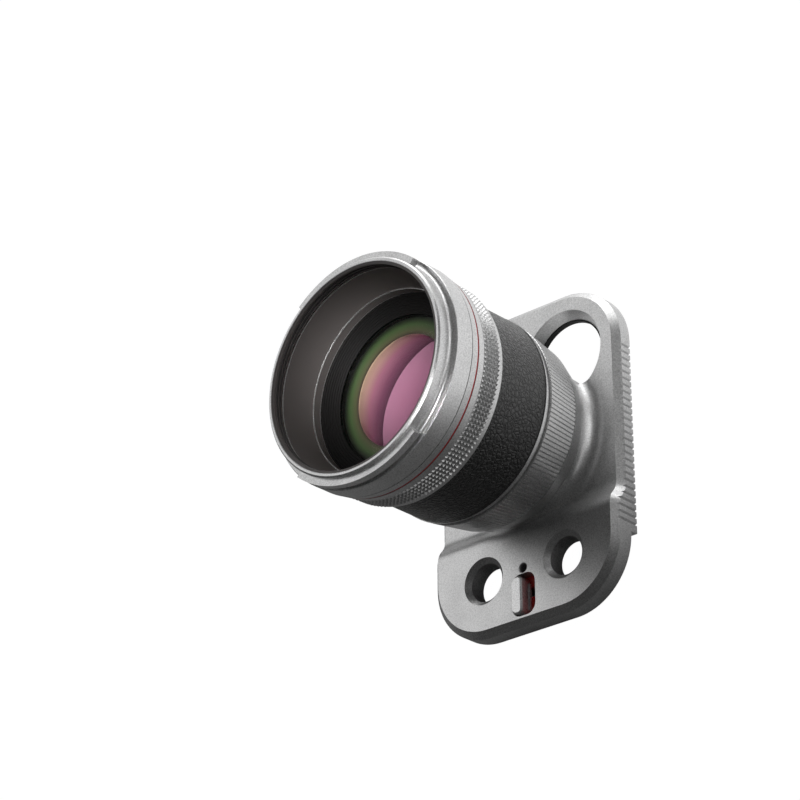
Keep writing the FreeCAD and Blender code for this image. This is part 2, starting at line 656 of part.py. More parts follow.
    # Behind the slot: seat of the cover, and room for the latch plate and its leaf spring.
    cover_sketch = new_sketch(body, "cover_seat_outline")
    draw_outline(cover_sketch, rounded_box(
        "-cover_width / 2", "cover_width / 2",
        "-slot_y - cover_drop - cover_height / 2", "-slot_y - cover_drop + cover_height / 2",
        "cover_corner"))
    pocket(body, cover_sketch, "cover_seat", "z_cover", towards_front=True)

    latch_sketch = new_sketch(body, "latch_room_outline")
    draw_outline(latch_sketch, rectangle(
        "knob_x - latch_width / 2 - slide_play", "knob_x + latch_width / 2 + slide_travel + slide_play",
        "-slot_y - latch_height / 2 - slide_play", "spring_y"))
    pocket(body, latch_sketch, "latch_room", "z_flag", towards_front=True)

    spring_sketch = new_sketch(body, "spring_room_outline")
    draw_outline(spring_sketch, rectangle(
        "-spring_span / 2 - slide_play", "spring_span / 2 + slide_play",
        "spring_y - slide_play", "spring_y + spring_rise + spring_strip + slide_play"))
    pocket(body, spring_sketch, "spring_room", "z_flag", towards_front=True)

    screw_sketch = new_sketch(body, "cover_screw_holes")
    draw_circle(screw_sketch, "screw_radius", "cover_screw_x", "-slot_y - cover_drop")
    draw_circle(screw_sketch, "screw_radius", "-cover_screw_x", "-slot_y - cover_drop")
    pocket(body, screw_sketch, "cover_screw_bores", "z_back + screw_length", towards_front=True)

    # Grip: narrow V grooves from the bevel to the skirt's rear edge, on both long sides.
    for name, sign in (("right_grip", ""), ("left_grip", "-")):
        grip_sketch = new_sketch(body, name + "_section")
        draw_outline(grip_sketch, [
            (f"{sign}(plate_half_width - grip_depth)", "grip_first"),
            (f"{sign}(plate_half_width + groove_lift)", "grip_first - grip_width / 2"),
            (f"{sign}(plate_half_width + groove_lift)", "grip_first + grip_width / 2"),
        ])
        first = pocket(body, grip_sketch, name + "_first", "z_lower", towards_front=True)
        rows = body.newObject("PartDesign::LinearPattern", name)
        rows.Originals = [first]
        rows.Direction = (grip_sketch, ["V_Axis"])
        rows.Reversed = True
        rows.setExpression("Length", cells("grip_pitch * (grip_count - 1)"))
        rows.setExpression("Occurrences", cells("grip_count"))
        body.Tip = rows
    return body


# Socket ring: bayonet ring pressed and screwed in the boss, with three gaps for the lens's tabs.
def make_socket_ring():
    body = turned_piece("socket_ring", [
        ("neck_socket_radius", "z_socket"),
        ("socket_radius", "z_socket"),
        ("socket_radius", "z_boss"),
        ("neck_socket_radius", "z_boss"),
    ])
    gap_sketch = new_sketch(body, "gap_outline", "XY_Plane", "z_boss")
    draw_outline(gap_sketch, sector("neck_bore", "gap_angle / 2", "gap_turn"))
    gap = pocket(body, gap_sketch, "gap")
    polar(body, gap, "gaps", "tab_count", gap_sketch)
    return body


# Lens mount: neck with three bayonet tabs, and the flange that seats on the boss.
def make_lens_mount():
    body = turned_piece("lens_mount", [
        ("rear_clear_radius", "z_neck_end"),
        ("neck_radius", "z_neck_end"),
        ("neck_radius", "z_boss"),
        ("flange_radius", "z_boss"),
        ("flange_radius", "z_tail"),
        ("rear_glass_radius + collar_wall", "z_tail"),
        ("rear_glass_radius + collar_wall", "z_rear_top"),
        ("rear_glass_radius + fit_gap", "z_rear_top"),
        ("rear_glass_radius + fit_gap", "z_rear_seat"),
        ("rear_clear_radius", "z_rear_seat"),
    ])
    doc.recompute()
    tab_sketch = new_sketch(body, "tab_outline", "XY_Plane", "z_neck_end")
    reach = "(neck_radius + tab_reach)"
    inner = "(neck_radius - root)"
    half = "tab_angle / 2 * 1deg"
    draw_outline(tab_sketch, [
        (f"{inner} * cos({half})", f"-{inner} * sin({half})"),
        (f"{reach} * cos({half})", f"-{reach} * sin({half})", reach),
        (f"{reach} * cos({half})", f"{reach} * sin({half})"),
        (f"{inner} * cos({half})", f"{inner} * sin({half})", f"-{inner}"),
    ])
    tab = pad(body, tab_sketch, "tab", "tab_thickness")
    polar(body, tab, "tabs", "tab_count", tab_sketch)
    return body


# Fluted grip ring with the plain rear cone, one turned piece, and its flutes.
def make_fluted_ring():
    body = turned_piece("fluted_ring", [
        ("flange_radius - tail_lip", "z_tail"),
        ("tail_end_radius - tail_bevel", "z_tail"),
        ("tail_end_radius", "z_tail + tail_bevel"),
        ("tail_radius", "z_flute - dark_line"),
        ("tail_radius - dark_line", "z_flute - dark_line"),
        ("tail_radius - dark_line", "z_flute"),
        ("flute_back_radius", "z_flute"),
        ("flute_front_radius", "z_band - edge_break"),
        ("flute_front_radius - edge_break", "z_band"),
        ("barrel_outer + fit_gap", "z_band"),
        ("barrel_outer + fit_gap", "z_tail + tail_floor"),
        ("flange_radius - tail_lip", "z_tail + tail_floor"),
    ])
    v_grooves(body, "flute", "flute_count", "flute_depth", "flute_width",
              ("flute_back_radius", "z_flute"), ("flute_front_radius", "z_band"))
    return body


# Main barrel: the tube that everything is stacked in, with the collar behind the leather.
def make_main_barrel():
    return turned_piece("main_barrel", [
        ("barrel_inner", "z_tail + tail_floor"),
        ("barrel_outer", "z_tail + tail_floor"),
        ("barrel_outer", "z_band + fit_gap"),
        ("band_radius", "z_band + fit_gap"),
        ("band_radius", "z_collar"),
        ("collar_radius", "z_collar"),
        ("collar_radius", "z_leather"),
        ("core_radius", "z_leather"),
        ("core_radius", "z_taper"),
        ("core_radius - hood_spigot", "z_taper"),
        ("core_radius - hood_spigot", "z_ribs"),
        ("throat_radius", "z_ribs"),
        ("throat_radius", "z_iris_back"),
        ("barrel_inner", "z_iris_back"),
    ])


def make_leather_sleeve():
    return turned_piece("leather_sleeve", [
        ("core_radius", "z_leather"),
        ("leather_radius", "z_leather"),
        ("leather_radius", "z_knurl_rim"),
        ("core_radius", "z_knurl_rim"),
    ])


# Knurled ring in front of the leather: turned V grooves, crossed by V grooves along the axis.
def make_knurled_ring():
    corners = [
        ("core_radius", "z_knurl_rim"),
        ("knurl_rim_radius", "z_knurl_rim"),
        ("knurl_rim_radius", "z_knurl"),
        ("knurl_rear_radius", "z_knurl"),
    ]
    for row in range(1, int(size("knurl_rows"))):
        middle = f"knurl_height * {row} / knurl_rows"
        for along, depth in (("- knurl_width / 2", "0"), ("", "knurl_depth"), ("+ knurl_width / 2", "0")):
            height = f"({middle} {along})"
            crest = f"knurl_rear_radius + knurl_taper * {height} / knurl_height"
            corners.append((f"{crest} - {depth}", f"z_knurl + {height}"))
    corners += [
        ("knurl_front_radius", "z_knurl_front"),
        ("core_radius", "z_knurl_front"),
    ]
    body = turned_piece("knurled_ring", corners)
    v_grooves(body, "knurl", "knurl_count", "knurl_depth", "knurl_width",
              ("knurl_rear_radius", "z_knurl"), ("knurl_front_radius", "z_knurl_front"))
    return body


# Tapered barrel with the groove of the red ring.
def make_front_barrel():
    return turned_piece("front_barrel", [
        ("core_radius + fit_gap", "z_taper"),
        ("taper_rear_radius", "z_taper"),
        ("accent_back_radius", "z_accent_back"),
        ("accent_back_radius - accent_groove", "z_accent_back"),
        ("accent_front_radius - accent_groove", "z_accent_front"),
        ("accent_front_radius", "z_accent_front"),
        ("taper_front_radius", "z_barrel"),
        ("core_radius + fit_gap", "z_barrel"),
    ])


def make_accent_ring():
    return turned_piece("accent_ring", [
        ("accent_back_radius - accent_groove", "z_accent_back"),
        ("accent_back_radius - accent_sunk", "z_accent_back"),
        ("accent_front_radius - accent_sunk", "z_accent_front"),
        ("accent_front_radius - accent_groove", "z_accent_front"),
    ])


# Front ring: barrel cylinder, shoulder, hollow curve, rim with two hood lugs, and the filter mouth.
def make_front_ring():
    body = turned_piece("front_ring", [
        ("throat_radius", "z_ribs"),
        ("core_radius - hood_spigot + fit_gap", "z_ribs"),
        ("core_radius - hood_spigot + fit_gap", "z_taper + fit_gap"),
        ("core_radius", "z_taper + fit_gap"),
        ("core_radius", "z_barrel"),
        ("barrel_radius - dark_line", "z_barrel"),
        ("barrel_radius", "z_barrel + dark_line"),
        ("barrel_radius", "z_shoulder - edge_break"),
        ("barrel_radius - edge_break", "z_shoulder"),
        ("rim_radius + cove_radius", "z_shoulder", "-cove_radius"),
        ("rim_radius", "z_shoulder + cove_radius"),
        ("rim_radius", "z_mouth - rim_bevel"),
        ("rim_radius - rim_bevel", "z_mouth"),
        ("mouth_radius", "z_mouth"),
        ("thread_radius", "z_mouth - mouth_bevel"),
        ("thread_radius", "z_mouth - mouth_bevel - thread_length"),
        ("relief_radius", "z_mouth - mouth_bevel - thread_length"),
        ("relief_radius", "z_mouth - mouth_bevel - thread_length - relief_height"),
        ("hood_front_radius", "z_mouth - mouth_bevel - thread_length - relief_height"),
        ("hood_back_radius", "z_hood"),
        ("throat_radius", "z_hood"),
    ])
    lug_sketch = new_sketch(body, "lug_outline", "XY_Plane", "z_mouth - lug_front - lug_height")
    half = "(lug_angle / 2) * 1deg"
    inner = "(rim_radius - root)"
    for sign in ("", "-"):
        corners = [
            (f"{sign}{inner} * sin({half})", f"{sign}{inner} * cos({half})"),
            (f"{sign}lug_radius * sin({half})", f"{sign}lug_radius * cos({half})", "lug_radius"),
            (f"-{sign}lug_radius * sin({half})", f"{sign}lug_radius * cos({half})"),
            (f"-{sign}{inner} * sin({half})", f"{sign}{inner} * cos({half})", f"-{inner}"),
        ]
        corners = [tuple(part.replace("--", "") for part in corner) for corner in corners]
        sketch = lug_sketch if sign == "" else new_sketch(
            body, "lower_lug_outline", "XY_Plane", "z_mouth - lug_front - lug_height")
        draw_outline(sketch, corners)
        pad(body, sketch, "upper_lug" if sign == "" else "lower_lug", "lug_height")
    return body


# Ribbed ring that holds the front glass.
def make_retaining_ring():
    return turned_piece("retaining_ring", [
        ("stop_radius", "z_glass_rim"),
        ("throat_radius - fit_gap", "z_ribs"),
        ("throat_radius - fit_gap", "z_glass_edge"),
        ("stop_radius", "z_glass_edge"),
    ])


# Lens cell: seat of the front glass, small opening, and a cone that widens to the middle glass.
def make_lens_cell():
    return turned_piece("lens_cell", [
        ("cell_open_radius", "z_cell_seat - seat_relief"),
        ("stop_radius", "z_cell_seat - seat_relief"),
        ("stop_radius", "z_cell_seat"),
        ("front_glass_radius + fit_gap", "z_cell_seat"),
        ("front_glass_radius + fit_gap", "z_glass_edge"),
        ("cell_wall_radius", "z_glass_edge"),
        ("cell_wall_radius", "z_middle_back"),
        ("middle_glass_radius + fit_gap", "z_middle_back"),
        ("middle_glass_radius + fit_gap", "z_middle"),
        ("cell_cone_radius", "z_middle"),
        ("cell_open_radius", "z_cell_seat - cell_lip"),
    ])


def domed_glass(name, radius, clear_radius, z_flat, z_land, sag):
    """Glass with a flat back, a cylindrical edge, a flat land and a domed front."""
    sphere = f"(({clear_radius})^2 + {sag}^2) / (2 * {sag})"
    return turned_piece(name, [
        ("0", z_flat),
        (radius, z_flat),
        (radius, z_land),
        (clear_radius, z_land, sphere),
        ("0", f"{z_land} + {sag}"),
    ])


def make_front_glass():
    return domed_glass("front_glass", "front_glass_radius", "stop_radius - fit_gap", "z_cell_seat",
                       "z_glass_edge", "front_glass_sag")


def make_middle_glass():
    return domed_glass("middle_glass", "middle_glass_radius", "cell_cone_radius - fit_gap",
                       "z_middle_back", "z_middle", "middle_glass_sag")


# Stop ring behind the middle glass.
def make_stop_ring():
    return turned_piece("stop_ring", [
        ("iris_radius", "z_iris_back + iris_thickness / 2"),
        ("iris_radius + iris_bevel", "z_iris_back"),
        ("cell_wall_radius", "z_iris_back"),
        ("cell_wall_radius", "z_middle_back"),
        ("cell_cone_radius", "z_middle_back"),
        ("cell_cone_radius", "z_middle_back - seat_relief"),
        ("iris_radius", "z_middle_back - seat_relief"),
    ])


# Rear doublet: a hollow-faced front element cemented to a thin back element.
def make_rear_crown():
    dish = "(rear_glass_radius^2 + rear_glass_dish^2) / (2 * rear_glass_dish)"
    cement = "(rear_glass_radius^2 + cement_dish^2) / (2 * cement_dish)"
    return turned_piece("rear_crown", [
        ("0", "z_rear_cement + cement_gap - cement_dish", cement),
        ("rear_glass_radius", "z_rear_cement + cement_gap"),
        ("rear_glass_radius", "z_rear_glass", f"-{dish}"),
        ("0", "z_rear_glass - rear_glass_dish"),
    ])


def make_rear_flint():
    cement = "(rear_glass_radius^2 + cement_dish^2) / (2 * cement_dish)"
    dish = "((rear_clear_radius - fit_gap)^2 + rear_back_dish^2) / (2 * rear_back_dish)"
    return turned_piece("rear_flint", [
        ("0", "z_rear_seat + rear_back_dish", f"-{dish}"),
        ("rear_clear_radius - fit_gap", "z_rear_seat"),
        ("rear_glass_radius", "z_rear_seat"),
        ("rear_glass_radius", "z_rear_cement", f"-{cement}"),
        ("0", "z_rear_cement - cement_dish"),
    ])


def make_rear_retainer():
    return turned_piece("rear_retainer", [
        ("rear_clear_radius", "z_rear_glass"),
        ("rear_glass_radius", "z_rear_glass"),
        ("rear_glass_radius", "z_rear_top"),
        ("rear_clear_radius + rear_lip", "z_rear_top"),
    ])


# Soft pad inside the skirt, with holes for the lens and the window.
def make_back_pad():
    body = new_body("back_pad")
    inner = "(plate_half_width - skirt_wall - pad_inset)"
    corner = "(plate_corner - skirt_wall - pad_inset)"
    top = "(plate_top - skirt_wall - pad_inset)"
    sketch = new_sketch(body, "pad_outline", "XY_Plane", "z_back - pad_thickness")
    draw_outline(sketch, [
        (f"-{inner}", "-pad_end"),
        (inner, "-pad_end"),
        (inner, f"{top} - {corner}", corner),
        (f"{inner} - {corner}", top),
        (f"-({inner} - {corner})", top, corner),
        (f"-{inner}", f"{top} - {corner}"),
    ])
    draw_circle(sketch, "pad_hole")
    pad(body, sketch, "pad_sheet", "pad_thickness")
    window_sketch = new_sketch(body, "pad_window_circle", "XY_Plane", "z_back")
    draw_circle(window_sketch, "pad_window", "window_x", "window_y")
    pocket(body, window_sketch, "pad_window_cut")
    return body


# Lock slider: the knob in the slot and its stem through the red plate.
def make_lock_slider():
    body = new_body("lock_slider")
    left = "(knob_x - knob_width / 2)"
    right = "(knob_x + knob_width / 2)"
    low = "(-slot_y - knob_height / 2)"
    high = "(-slot_y + knob_height / 2)"
    knob_sketch = new_sketch(body, "knob_outline", "XY_Plane", "z_upper + fit_gap")
    draw_outline(knob_sketch, [
        (f"{left} + knob_corner", low),
        (f"{right} - knob_right_corner", low, "knob_right_corner"),
        (right, f"{low} + knob_right_corner"),
        (right, f"{high} - knob_right_corner", "knob_right_corner"),
        (f"{right} - knob_right_corner", high),
        (f"{left} + knob_corner", high, "knob_corner"),
        (left, f"{high} - knob_corner"),
        (left, f"{low} + knob_corner", "knob_corner"),
    ])
    knob = pad(body, knob_sketch, "knob", "lower_rise + knob_proud - fit_gap")
    doc.recompute()
    crown_z = size("z_lower") + size("knob_proud")
    rim = [f"Edge{n}" for n, edge in enumerate(knob.Shape.Edges, start=1)
           if edge.BoundBox.ZMin > crown_z - SMALL]
    bevel = body.newObject("PartDesign::Chamfer", "knob_bevelled")
    bevel.Base = (knob, rim)
    bevel.setExpression("Size", cells("knob_bevel"))
    foot_sketch = new_sketch(body, "foot_outline", "XY_Plane", "z_upper + fit_gap")
    draw_outline(foot_sketch, rectangle(
        right + " - knob_lip", right + " + knob_lip",
        "-slot_y - knob_lip_length / 2", "-slot_y + knob_lip_length / 2"))
    pad(body, foot_sketch, "foot", "knob_lip_height")
    stem_sketch = new_sketch(body, "stem_outline", "XY_Plane", "z_latch_front")
    draw_outline(stem_sketch, rectangle(
        "stem_x - stem_width / 2", "stem_x + stem_width / 2",
        "-slot_y + stem_offset - stem_height / 2", "-slot_y + stem_offset + stem_height / 2"))
    pad(body, stem_sketch, "stem", "z_upper + knob_lip_height - z_latch_front")
    tap_sketch = new_sketch(body, "tapped_hole_circle", "XY_Plane", "z_latch_front")
    draw_circle(tap_sketch, "latch_screw_radius", "stem_x", "-slot_y + stem_offset")
    pocket(body, tap_sketch, "tapped_hole", "latch_screw_length", towards_front=True)
    return body


# Latch plate behind the red plate, screwed to the knob's stem, with the pawl that locks the phone case.
def make_latch_plate():
    body = new_body("latch_plate")
    sketch = new_sketch(body, "latch_outline", "XY_Plane", "z_latch")
    draw_outline(sketch, rectangle(
        "knob_x - latch_width / 2", "knob_x + latch_width / 2",
        "-slot_y - latch_height / 2", "-slot_y + latch_height / 2"))
    draw_circle(sketch, "latch_screw_radius + cement_gap", "stem_x", "-slot_y + stem_offset")
    pad(body, sketch, "latch_sheet", "latch_thickness")
    head_sketch = new_sketch(body, "head_seat_circle", "XY_Plane", "z_latch")
    draw_circle(head_sketch, "latch_head_radius + cement_gap", "stem_x", "-slot_y + stem_offset")
    pocket(body, head_sketch, "head_seat", "latch_head_height", towards_front=True)
    pawl_sketch = new_sketch(body, "pawl_outline", "XY_Plane", "z_back - pawl_reach")
    draw_outline(pawl_sketch, rectangle(
        "knob_x - pawl_width / 2", "knob_x + pawl_width / 2",
        "-slot_y - pawl_offset - pawl_height / 2", "-slot_y - pawl_offset + pawl_height / 2"))
    pad(body, pawl_sketch, "pawl", "z_latch + latch_thickness / 2 - z_back + pawl_reach")
    return body


def make_latch_screw():
    body = new_body("latch_screw")
    head_sketch = new_sketch(body, "head_circle", "XY_Plane", "z_latch")
    draw_circle(head_sketch, "latch_head_radius", "stem_x", "-slot_y + stem_offset")
    pad(body, head_sketch, "head", "latch_head_height")
    shank_sketch = new_sketch(body, "shank_circle", "XY_Plane", "z_latch")
    draw_circle(shank_sketch, "latch_screw_radius - cement_gap", "stem_x", "-slot_y + stem_offset")
    pad(body, shank_sketch, "shank", "latch_thickness + latch_screw_length - fit_gap")
    return body


# Red plate in the slot's floor, slit for the stem.
def make_red_plate():
    body = new_body("red_plate")
    sketch = new_sketch(body, "red_outline", "XY_Plane", "z_flag")
    draw_outline(sketch, rounded_box(
        "(-slot_width / 2 + fit_gap)", "(slot_width / 2 - fit_gap)",
        "(-slot_y - slot_height / 2 + fit_gap)", "(-slot_y + slot_height / 2 - fit_gap)",
        "(slot_corner - fit_gap)"))
    draw_outline_inside(sketch, rectangle(
        "stem_x - stem_width / 2 - slide_play", "stem_x + stem_width / 2 + slide_travel + slide_play",
        "-slot_y + stem_offset - stem_height / 2 - slide_play",
        "-slot_y + stem_offset + stem_height / 2 + slide_play"))
    pad(body, sketch, "red_sheet", "flag_thickness")
    return body


# Leaf spring that bears on the latch plate's upper edge, so that the slider stays where it is put.
def make_leaf_spring():
    body = new_body("leaf_spring")
    bow = "((spring_span / 2)^2 + spring_rise^2) / (2 * spring_rise)"
    far = "(spring_y + spring_rise)"
    sketch = new_sketch(body, "spring_outline", "XY_Plane", "z_latch")
    draw_outline(sketch, [
        ("-spring_span / 2", far, f"{bow}"),
        ("spring_span / 2", far),
        ("spring_span / 2", f"{far} + spring_strip", f"-{bow}"),
        ("-spring_span / 2", f"{far} + spring_strip"),
    ])
    pad(body, sketch, "spring_strip_bent", "spring_width")
    return body


# Cover behind the latch, with a slit for the pawl and two screws.
def make_slider_cover():
    body = new_body("slider_cover")
    sketch = new_sketch(body, "cover_outline", "XY_Plane", "z_back")
    draw_outline(sketch, rounded_box(
        "(-cover_width / 2 + fit_gap)", "(cover_width / 2 - fit_gap)",
        "(-slot_y - cover_drop - cover_height / 2 + fit_gap)",
        "(-slot_y - cover_drop + cover_height / 2 - fit_gap)", "(cover_corner - fit_gap)"))
    draw_outline_inside(sketch, rectangle(
        "knob_x - pawl_width / 2 - slide_play", "knob_x + pawl_width / 2 + slide_travel + slide_play",
        "-slot_y - pawl_offset - pawl_height / 2 - slide_play",
        "-slot_y - pawl_offset + pawl_height / 2 + slide_play"))
    draw_circle(sketch, "screw_radius", "cover_screw_x", "-slot_y - cover_drop")
    draw_circle(sketch, "screw_radius", "-cover_screw_x", "-slot_y - cover_drop")
    pad(body, sketch, "cover_sheet", "cover_thickness")
    seat_sketch = new_sketch(body, "screw_seats", "XY_Plane", "z_back")
    draw_circle(seat_sketch, "screw_head_radius + cement_gap", "cover_screw_x", "-slot_y - cover_drop")
    draw_circle(seat_sketch, "screw_head_radius + cement_gap", "-cover_screw_x", "-slot_y - cover_drop")
    pocket(body, seat_sketch, "screw_seat", "screw_head_height", towards_front=True)
    return body


# Two equal screws of the slider cover, one node.
def make_cover_screws():
    screws = []
    for name, sign in (("right_screw", ""), ("left_screw", "-")):
        body = doc.addObject("PartDesign::Body", name)
        for part, radius, length in (
            ("head", "screw_head_radius", "screw_head_height"),
            ("shank", "screw_radius - cement_gap", "screw_length - fit_gap"),
        ):
            sketch = new_sketch(body, f"{name}_{part}_circle", "XY_Plane", "z_back")
            draw_circle(sketch, radius, f"{sign}cover_screw_x", "-slot_y - cover_drop")
            pad(body, sketch, f"{name}_{part}", length)
        screws.append(body)
    group = doc.addObject("Part::Compound", "cover_screws")
    group.Label = "cover_screws"
    group.Links = screws
    return group


PIECES = [
    make_adapter_plate,
    make_socket_ring,
    make_lens_mount,
    make_fluted_ring,
    make_main_barrel,
    make_leather_sleeve,
    make_knurled_ring,
    make_front_barrel,
    make_accent_ring,
    make_front_ring,
    make_retaining_ring,
    make_lens_cell,
    make_front_glass,
    make_middle_glass,
    make_stop_ring,
    make_rear_crown,
    make_rear_flint,
    make_rear_retainer,
    make_back_pad,
    make_lock_slider,
    make_latch_plate,
    make_latch_screw,
    make_red_plate,
    make_leaf_spring,
    make_slider_cover,
    make_cover_screws,
]
bodies = [make() for make in PIECES]
doc.recompute()

# Every object must have recomputed, and every piece must be a whole solid, before anything is written.
for item in doc.Objects:
    if "Invalid" in item.State or "Error" in item.State:
        raise RuntimeError(f"{item.Name}: {item.State}")
for body in bodies:
    if body.Shape.isNull() or not body.Shape.isValid():
        raise RuntimeError(f"{body.Label}: no valid shape")
os.makedirs("parts", exist_ok=True)
for body in bodies:
    body.Shape.exportStep(f"parts/{body.Label}.step")
    print(f"{body.Label}: {len(body.Shape.Solids)} solids, {body.Shape.Volume:.2f} mm3")
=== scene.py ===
# %% [markdown]
# # A phone telephoto lens on its adapter plate
# The solids come packed from the CAD model, in metres, with the optical axis along +Z and the
# plate's rear edge on z = 0. This script gives them their finishes, adds the details that are too
# fine for the solids, and sets the camera and the studio light. It needs no file but the frame.

import math

import bmesh
import bpy
from mathutils import Matrix, Vector


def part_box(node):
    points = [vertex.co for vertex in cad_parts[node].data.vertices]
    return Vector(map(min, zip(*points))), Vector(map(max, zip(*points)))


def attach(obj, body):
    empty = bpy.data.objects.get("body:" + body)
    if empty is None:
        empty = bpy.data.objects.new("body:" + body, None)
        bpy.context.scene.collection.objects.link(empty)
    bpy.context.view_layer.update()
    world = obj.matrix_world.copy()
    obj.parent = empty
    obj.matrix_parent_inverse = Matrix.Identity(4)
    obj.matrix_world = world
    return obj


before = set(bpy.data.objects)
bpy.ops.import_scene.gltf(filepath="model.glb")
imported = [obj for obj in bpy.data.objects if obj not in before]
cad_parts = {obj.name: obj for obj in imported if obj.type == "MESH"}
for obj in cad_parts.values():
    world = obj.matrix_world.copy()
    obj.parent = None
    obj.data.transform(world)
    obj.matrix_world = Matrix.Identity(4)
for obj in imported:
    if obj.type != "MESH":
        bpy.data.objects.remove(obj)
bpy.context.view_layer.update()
MM = 0.001

# %% [markdown]
# ## Camera
# The photograph was taken with a long lens from in front of the mouth and a little below, with the
# plate's long side upright in the picture. Here the plate lies on the floor, so the same camera
# looks down on it. A camera could be aimed with a track-to constraint, but its turn would then
# depend on a target. Three angles and a place say the same thing with no constraint.

# %% Camera
CAMERA_PLACE = Vector((373.47, -271.51, 455.76)) * MM
CAMERA_TURN = 42.13
CAMERA_RISE = 25.80
CAMERA_ROLL = -0.30
LENS_LENGTH = 142.6
FILM_WIDTH = 36.0
CLIP_NEAR, CLIP_FAR = 0.01, 20.0

camera = bpy.data.objects.new("studio_camera", bpy.data.cameras.new("studio_camera"))
camera.data.lens = LENS_LENGTH
camera.data.sensor_width = FILM_WIDTH
camera.data.clip_start = CLIP_NEAR
camera.data.clip_end = CLIP_FAR
plate_upright = Matrix.Rotation(math.radians(-90), 4, "X")
camera.matrix_world = (
    Matrix.Translation(CAMERA_PLACE)
    @ plate_upright
    @ Matrix.Rotation(math.radians(CAMERA_TURN), 4, "Z")
    @ Matrix.Rotation(math.radians(90 + CAMERA_RISE), 4, "X")
    @ Matrix.Rotation(math.radians(CAMERA_ROLL), 4, "Z")
)
bpy.context.scene.collection.objects.link(camera)
bpy.context.scene.camera = camera
towards_camera = camera.matrix_world.to_3x3().col[2].normalized()
print("from the lens to the camera:", [round(c, 3) for c in towards_camera])

# %% [markdown]
# ## Finding one's way in a node tree
# Every finish below is a small node tree. Building one by hand takes the same three moves each
# time: add a node, set its sockets, join two sockets. These helpers do each move in one line, so
# that a finish reads as a recipe. They take a material or a world, since both have a node tree.


# %% Helpers for node trees
def new_finish(name):
    material = bpy.data.materials.new(name)
    material.use_nodes = True
    return material


def principled(material):
    return material.node_tree.nodes["Principled BSDF"]


def set_sockets(node, **amounts):
    """Give sockets a constant, with _ in place of each space in a socket's name."""
    for socket, amount in amounts.items():
        node.inputs[socket.replace("_", " ")].default_value = amount
    return node


def add_node(owner, kind, **amounts):
    return set_sockets(owner.node_tree.nodes.new(kind), **amounts)


def join(owner, source, target):
    owner.node_tree.links.new(source, target)


def feed(material, socket, source):
    """Join a node's output to a socket of the material's own shader."""
    join(material, source, principled(material).inputs[socket])


def maths(owner, operation, *terms):
    """One operation. Each term is a number or the output of another node."""
    node = add_node(owner, "ShaderNodeMath")
    node.operation = operation
    for socket, term in zip(node.inputs, terms):
        if isinstance(term, (int, float)):
            socket.default_value = term
        else:
            join(owner, term, socket)
    return node.outputs[0]


# %% Helpers for finishes
NOISE_LOW, NOISE_HIGH = 0.3, 0.7  # most of a noise lies between these


def surface_place(material):
    """Object coordinates, in metres. On the lens, x = y = 0 is the optical axis."""
    return add_node(material, "ShaderNodeTexCoord").outputs["Object"]


def noise(material, scale, detail=2.0, roughness=0.5, output="Fac"):
    node = add_node(material, "ShaderNodeTexNoise", Scale=scale, Detail=detail, Roughness=roughness)
    join(material, surface_place(material), node.inputs["Vector"])
    return node.outputs[output]


def grey(level):
    return (level, level, level)


def shades(material, factor, *stops):
    """A colour ramp with (position, colour) stops, fed by a factor."""
    ramp = add_node(material, "ShaderNodeValToRGB")
    for extra in range(len(stops) - 2):
        ramp.color_ramp.elements.new(0.5)
    for element, (position, colour) in zip(ramp.color_ramp.elements, stops):
        element.position = position
        element.color = (*colour, 1.0)
    join(material, factor, ramp.inputs["Fac"])
    return ramp.outputs["Color"]


def mottled(material, grain, dark, light):
    """A colour that wanders between dark and light with a noise."""
    return shades(material, grain, (NOISE_LOW, dark), (NOISE_HIGH, light))


def bump(material, height, distance, strength=1.0):
    node = add_node(material, "ShaderNodeBump", Strength=strength, Distance=distance)
    join(material, height, node.inputs["Height"])
    feed(material, "Normal", node.outputs["Normal"])


# %% [markdown]
# ## Bead-blasted aluminium
# The silver parts are turned or milled from aluminium, blasted with fine beads and anodised clear.
# That leaves an even satin grey with a grain of a quarter of a millimetre, and no turning marks. A
# plain grey metal would look like plastic, so the colour, the roughness and a shallow bump each
# follow fine noise at that scale, and broad clouds keep large faces from looking dead even. The
# anodic film scatters a little, so the metal isn't a full one.

# %% Bead-blasted aluminium
SILVER_LEVEL, SATIN = 0.66, 0.35
GRAIN_SCALE, CLOUD_SCALE, CLOUD_SHARE = 3600.0, 160.0, 0.25
GRAIN_DEPTH = 0.014 * MM


def blasted_metal(name, level=SILVER_LEVEL, roughness=SATIN, metallic=0.78):
    metal = new_finish(name)
    set_sockets(principled(metal), Metallic=metallic)
    grains = noise(metal, GRAIN_SCALE, 3.0, 0.6)
    clouds = noise(metal, CLOUD_SCALE)
    mixed = maths(metal, "MULTIPLY_ADD", clouds, CLOUD_SHARE, grains)
    feed(metal, "Base Color",
         shades(metal, mixed, (0.40, grey(level * 0.70)), (0.85, grey(level * 1.25))))
    feed(metal, "Roughness", mottled(metal, grains, grey(roughness - 0.04), grey(roughness + 0.05)))
    bump(metal, grains, GRAIN_DEPTH, 0.6)
    return metal


silver = blasted_metal("blasted_aluminium")
plate_silver = blasted_metal("blasted_plate", roughness=0.38, metallic=0.85)
bright_knob = blasted_metal("bright_anodised_knob", level=0.85, roughness=0.36)
print("made", silver.name, plate_silver.name, "and", bright_knob.name)

# %% [markdown]
# ## Black anodising
# The rear cover and the small rings inside are aluminium anodised black, which is smooth enough to
# show a soft streak of light and not quite black in it. A base colour of 2 or 3 percent with a
# middling roughness does that. Fine noise in the roughness keeps the streak from looking like
# lacquer.

# %% Black anodising
PORE_SCALE = 5200.0
PORE_DEPTH = 0.006 * MM


